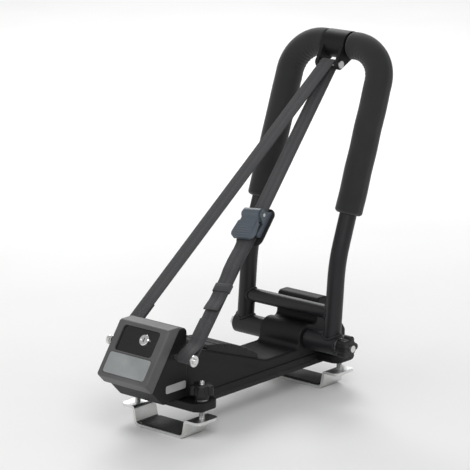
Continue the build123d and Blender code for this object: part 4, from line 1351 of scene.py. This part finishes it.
    def sew(self) -> None:
        """Sew both pin ends and the buckle end, on the faces that show."""
        line = self.line
        edge = line.thick / 2 + self.proud
        fold = line.wrap - line.layer
        seams = (
            ("seam_rear_outer", Side.REAR, line.wrap + edge, Stretch.ARM),
            ("seam_rear_inner", Side.REAR, fold - edge, Stretch.ARM),
            ("seam_front_outer", Side.FRONT, edge - fold, Stretch.BUCKLE),
            ("seam_front_inner", Side.FRONT, -line.wrap - edge, Stretch.BUCKLE),
        )
        for name, side, z, stretch in seams:
            self.stitches(name, line.at(self.pin_seam, z, side), side, stretch)
        under = line.near_buckle(self.bar_seam, line.tether_z(self.bar_seam) - edge)
        self.stitches("seam_buckle_inner", under, Side.FRONT, Stretch.BUCKLE)

    def keeper(self) -> None:
        """Make the elastic loop that holds the tail: a thin band swept round a flat oval."""
        line = self.line
        oval = rounded_outline(line.width + self.keeper_play, *self.keeper_oval, steps=6)
        middle = line.near_buckle(*self.keeper_place)
        path = middle + oval[:, :1] * line.across(Side.FRONT) + oval[:, 1:] * line.outward
        along = line.strand(Side.FRONT)
        up = np.cross(tangents(path, closed=True), along)
        half, edge = self.keeper_band
        tip = half + edge
        a = np.array([-half, half, tip, half, -half, -tip])[:, None]
        b = edge * np.array([1.0, 1.0, 0.0, -1.0, -1.0, 0.0])[:, None]
        points = path[:, None] + along * a + up[:, None] * b
        around = np.linspace(0, self.keeper_girth, len(a) + 1)
        piece = Grid(points, run_length(closed_up(path)), around).write("tail_keeper")
        self.bend(piece, Stretch.BUCKLE)

    def build(self) -> None:
        """Make the webbings, then their seams and the keeper."""
        self.webbings()
        self.sew()
        self.keeper()


@dataclass(frozen=True)
class BuckleDress(Dressing):
    """Rubber pad under the buckle and the grip ribs on its lever."""

    line: StrapLine = StrapLine()
    pad: Pair = (0.064, 0.044)
    pad_corner: float = 0.012
    pad_thick: float = 0.003
    pad_edge: float = 0.0012
    pad_place: Pair = (-0.003, -0.0045)
    lever_top: float = 0.0147
    rib: Pair = (0.026, 0.0011)
    rib_span: Pair = (-0.029, -0.013)
    ribs: int = 5

    def build(self) -> None:
        """Make the pad as a rounded plate and the ribs as half-sunk bars."""
        line = self.line
        along, across = line.strand(Side.FRONT), line.across(Side.FRONT)
        shape = plate(self.pad, self.pad_corner, self.pad_thick, self.pad_edge)
        axes = np.stack([along, across, -line.outward])
        pad = placed(shape, line.near_buckle(*self.pad_place), axes).write("buckle_pad_rubber")
        self.finishes.add(pad, Finish.RUBBER, Slot.RUBBER, "buckle", "buckle_pad")
        places = line.near_buckle(np.linspace(*self.rib_span, self.ribs), self.lever_top)
        turned = np.broadcast_to(np.stack([across, -along, line.outward]), (self.ribs, 3, 3))
        ribs = copies("lever_ribs", capsule(*self.rib, sides=10, rings=9), places, turned)
        self.finishes.add(ribs, Finish.BUCKLE, Slot.BUCKLE, "buckle_lever")


@dataclass(frozen=True)
class NoseDress(Dressing):
    """Bare inlays on both sides of the nose block."""

    size: Pair = (0.040, 0.011)
    corner: float = 0.0025
    thick: float = 0.0011
    edge: float = 0.0004
    middle: Pair = (-0.183, 0.040)
    side_y: float = 0.042
    sunk: float = 0.0002

    def build(self) -> None:
        """Make each inlay as a thin rounded plate, let into the housing's side."""
        shape = plate(self.size, self.corner, self.thick, self.edge)
        for side in Side:
            axes = np.array([(-side, 0, 0), (0, 0, 1), (0, side, 0)], float)
            origin = np.array([self.middle[0], side * (self.side_y - self.sunk), self.middle[1]])
            inlay = placed(shape, origin, axes).write(f"side_inlay_{side.word}")
            self.finishes.add(inlay, Finish.LABEL, Slot.PALE, "base")


@dataclass(frozen=True)
class PaddleSprings(Dressing):
    """Two coil springs behind the release paddle."""

    foot: Point = (-0.217820, 0.024, 0.061354)
    lean: float = 35.0
    length: float = 0.015
    coil: float = 0.0045
    wire: float = 0.0006
    seat: float = 0.00072
    turns: int = 5
    steps: int = 30
    sides: int = 10
    travel: float = 0.007

    def spring(self, foot: Array, axis: Array) -> Grid:
        """Round wire along a helix.

        Args:
            foot: middle of the spring's lower end.
            axis: direction of the spring.

        Returns:
            The surface: each point of the wire's line turns about the axis at the coil's radius
            while it rises, and the section turns about that line.
        """
        up = np.cross(Y_AXIS, axis)
        turn = np.linspace(0, TURN * self.turns, self.steps * self.turns + 1)[:, None]
        out = np.cos(turn) * up + np.sin(turn) * Y_AXIS
        rise = self.seat + (self.length - 2 * self.seat) * turn / turn[-1]
        path = foot + rise * axis + self.coil * out
        side = np.cross(tangents(path), out)
        spin = circle(self.sides)
        cos, sin = np.cos(spin[:-1])[:, None], np.sin(spin[:-1])[:, None]
        section = out[:, None] * cos + side[:, None] * sin
        points = path[:, None] + self.wire * section
        return Grid(points, run_length(path), spin * self.wire, caps=True)

    def build(self) -> None:
        """Make both springs, each with a mesh of its own."""
        lean = math.radians(self.lean)
        axis = np.array([-math.cos(lean), 0.0, math.sin(lean)])
        for side in Side:
            foot = np.array(self.foot) * [1, side, 1]
            spring = self.spring(foot, axis).write(f"paddle_spring_{side.word}")
            self.finishes.add(spring, Finish.ZINC, Slot.ZINC, "base", "paddle_springs")
            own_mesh(spring)


@dataclass(frozen=True)
class ClampBolts(Dressing):
    """Clamp bolts: hexagon heads under the jaws and shanks with cut threads."""

    clamp_x: float = 0.150
    bolt_y: float = 0.060
    radius: float = 0.0040
    pitch: float = 0.00125
    depth: float = 0.00055
    low: float = -0.0130
    high: float = 0.0449
    tip: float = 0.001
    thread: Pair = (-0.0088, 0.0438)
    head: float = 0.0075
    head_corner: float = 0.0004
    head_height: float = 0.0045
    head_edge: float = 0.0006
    rows: int = 6
    sides: int = 24

    def shank(self) -> Grid:
        """Threaded shank about the third axis, with a chamfered tip.

        Returns:
            The surface: its radius dips with the height in pitches less the turn, and the dip
            fades out at both ends of the thread.
        """
        first, last = self.thread
        z = np.linspace(first, last, int((last - first) / self.pitch * self.rows))
        z = np.concatenate([[self.low], z, [self.high - self.tip, self.high]])
        turn = circle(self.sides)
        phase = (z[:, None] / self.pitch - turn[:-1] / TURN) % 1.0
        fade = ease(np.minimum(z - first, last - z), (0.0, self.pitch))[:, None]
        r = self.radius - self.depth * np.abs(2 * phase - 1) * fade
        r[-1] -= self.tip
        x, y = r * np.cos(turn[:-1]), r * np.sin(turn[:-1])
        points = np.stack([x, y, np.broadcast_to(z[:, None], r.shape)], axis=-1)
        return Grid(points, z - self.low, turn * self.radius, caps=True)

    def build(self) -> None:
        """Make shank and head of all four bolts, each riding on its jaw."""
        shank = self.shank()
        head = slab(hexagon(self.head, self.head_corner), self.head_height, self.head_edge)
        head = placed(head, np.array([0.0, 0.0, self.low]), np.diag([1.0, -1.0, -1.0]))
        for clamp in Clamp:
            for side in Side:
                place = np.array([clamp * self.clamp_x, side * self.bolt_y, 0.0])
                for part, shape in (("bolt", shank), ("bolt_head", head)):
                    whole = placed(shape, place, np.eye(3))
                    piece = whole.write(f"{clamp.word}_{part}_{side.word}")
                    jaw, bolts = f"{clamp.word}_jaw", f"{clamp.word}_bolts"
                    self.finishes.add(piece, Finish.ZINC, Slot.ZINC, jaw, bolts)


@dataclass(frozen=True)
class ArmDress(Dressing):
    """Weld beads where the brace and the eyes meet the legs."""

    line: ArmLine = ArmLine()
    brace_rise: float = 0.045
    brace: float = 0.010
    eye: float = 0.015
    proud: float = 0.0004
    bead: float = 0.0019
    ripple: float = 0.00035
    ripple_steps: float = 6.0
    steps: int = 144
    sides: int = 10

    def build(self) -> None:
        """Lay a bead at both ends of the brace and at both eyes.

        Each is a thin ring along the line where two tubes meet: round the thinner one, as far out
        as the other's circle leaves it. Its radius ripples as the weld was laid.
        """
        line = self.line
        turn = circle(self.steps)[:-1, None]
        cos, sin = np.cos(turn), np.sin(turn)
        radius = self.bead + self.ripple * np.sin(np.arange(self.steps) * TURN / self.ripple_steps)
        back = np.cross(Y_AXIS, line.lower)
        reach, around = self.brace + self.proud, line.tube + self.proud
        inner = line.leg_y - np.sqrt(line.tube**2 - (reach * cos) ** 2) - self.proud
        rise = np.sqrt(self.eye**2 - (line.tube * cos) ** 2) + self.proud
        hinge = np.array(line.hinge)
        brace = hinge + line.lower * self.brace_rise + reach * (cos * back + sin * line.lower)
        eye = hinge + around * (cos * back + sin * Y_AXIS) + rise * line.lower
        for side in Side:
            rings = {
                f"brace_weld_{side.word}": brace + side * inner * Y_AXIS,
                f"eye_weld_{side.word}": eye + side * line.leg_y * Y_AXIS,
            }
            for name, path in rings.items():
                piece = ring_bead(path, radius, self.sides).write(name)
                self.finishes.add(piece, Finish.TUBE, Slot.TUBE, "arm")


# ---------------------------------------------------------------- studio


@dataclass(frozen=True)
class Lamp:
    """One square soft light, in metres and watts."""

    name: str
    place: Point
    size: float
    watts: float
    target: Point = AIM

    def build(self) -> None:
        """Add the light, facing its target."""
        data = bpy.data.lights.new(self.name, "AREA")
        data.size, data.energy = self.size, self.watts
        lamp = bpy.data.objects.new(self.name, data)
        lamp.location = self.place
        facing = Vector(self.target) - Vector(self.place)
        lamp.rotation_euler = facing.to_track_quat("-Z", "Y").to_euler()
        bpy.context.scene.collection.objects.link(lamp)


@dataclass(frozen=True)
class Studio:
    """Pale floor, soft lights and the camera at the photograph's angle."""

    azimuth: float = -48.9
    elevation: float = 14.3
    distance: float = 3.57
    view_width: float = 0.66
    floor_half: float = 14.0
    floor_gap: float = 0.0005
    floor_tones: Pair = (0.93, 0.96)
    floor_grain: float = 3.0
    floor_roughness: float = 0.8
    sky_strength: float = 0.46
    lamps: tuple[Lamp, ...] = (
        Lamp("key", (-1.6, -1.9, 2.4), 1.6, 34.0),
        Lamp("fill", (-2.4, 0.9, 1.3), 1.8, 10.0),
        Lamp("rim", (1.5, 1.6, 2.0), 1.4, 24.0),
        Lamp("backdrop", (2.6, 2.4, 1.9), 3.0, 34.0, (2.6, 2.4, 0.0)),
    )

    def floor(self) -> None:
        """Lay a wide pale floor just under the jaws, with a faint grain."""
        half, level = self.floor_half, CAD_BOX[0][2] - self.floor_gap
        signs = ((-1, -1), (1, -1), (1, 1), (-1, 1))
        mesh = bpy.data.meshes.new("floor")
        mesh.from_pydata([(x * half, y * half, level) for x, y in signs], [], [(0, 1, 2, 3)])
        floor = bpy.data.objects.new("floor", mesh)
        bpy.context.scene.collection.objects.link(floor)
        graph = Graph("pale_floor")
        tones = [(tone, tone, tone) for tone in self.floor_tones]
        graph.shade("Base Color", graph.ramp(graph.noise(self.floor_grain), *tones))
        graph.shade("Roughness", self.floor_roughness)
        mesh.materials.append(graph.material)

    def sky(self) -> None:
        """Light the scene softly and evenly from all round."""
        world = bpy.data.worlds.new("studio")
        bpy.context.scene.world = world
        world.use_nodes = True
        background = world.node_tree.nodes["Background"]
        background.inputs["Color"].default_value = (1.0, 1.0, 1.0, 1.0)
        background.inputs["Strength"].default_value = self.sky_strength

    def camera(self) -> None:
        """Set the camera at the photograph's bearing, height and distance."""
        a, e = math.radians(self.azimuth), math.radians(self.elevation)
        back = Vector((math.sin(a) * math.cos(e), -math.cos(a) * math.cos(e), math.sin(e)))
        data = bpy.data.cameras.new("camera")
        data.lens = data.sensor_width * self.distance / self.view_width
        camera = bpy.data.objects.new("camera", data)
        camera.location = Vector(AIM) + back * self.distance
        camera.rotation_euler = (-back).to_track_quat("-Z", "Y").to_euler()
        bpy.context.scene.collection.objects.link(camera)
        bpy.context.scene.camera = camera

    def build(self) -> None:
        """Set up floor, sky, lamps and camera."""
        self.floor()
        self.sky()
        for lamp in self.lamps:
            lamp.build()
        self.camera()
        bpy.context.scene.view_settings.view_transform = "Standard"


def main() -> None:
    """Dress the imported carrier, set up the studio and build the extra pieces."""
    logging.basicConfig(level=logging.INFO, format="%(message)s")
    finishes = Finishes()
    finishes.dress()
    Studio().build()
    dressings: tuple[Dressing, ...] = (
        CinchStrap(finishes),
        SleevePadding(finishes, Side.FRONT),
        SleevePadding(finishes, Side.REAR),
        CradlePad(finishes),
        BuckleDress(finishes),
        NoseDress(finishes),
        PaddleSprings(finishes),
        ClampBolts(finishes),
        ArmDress(finishes),
    )
    for dressing in dressings:
        dressing.build()


if __name__ == "__main__":
    main()
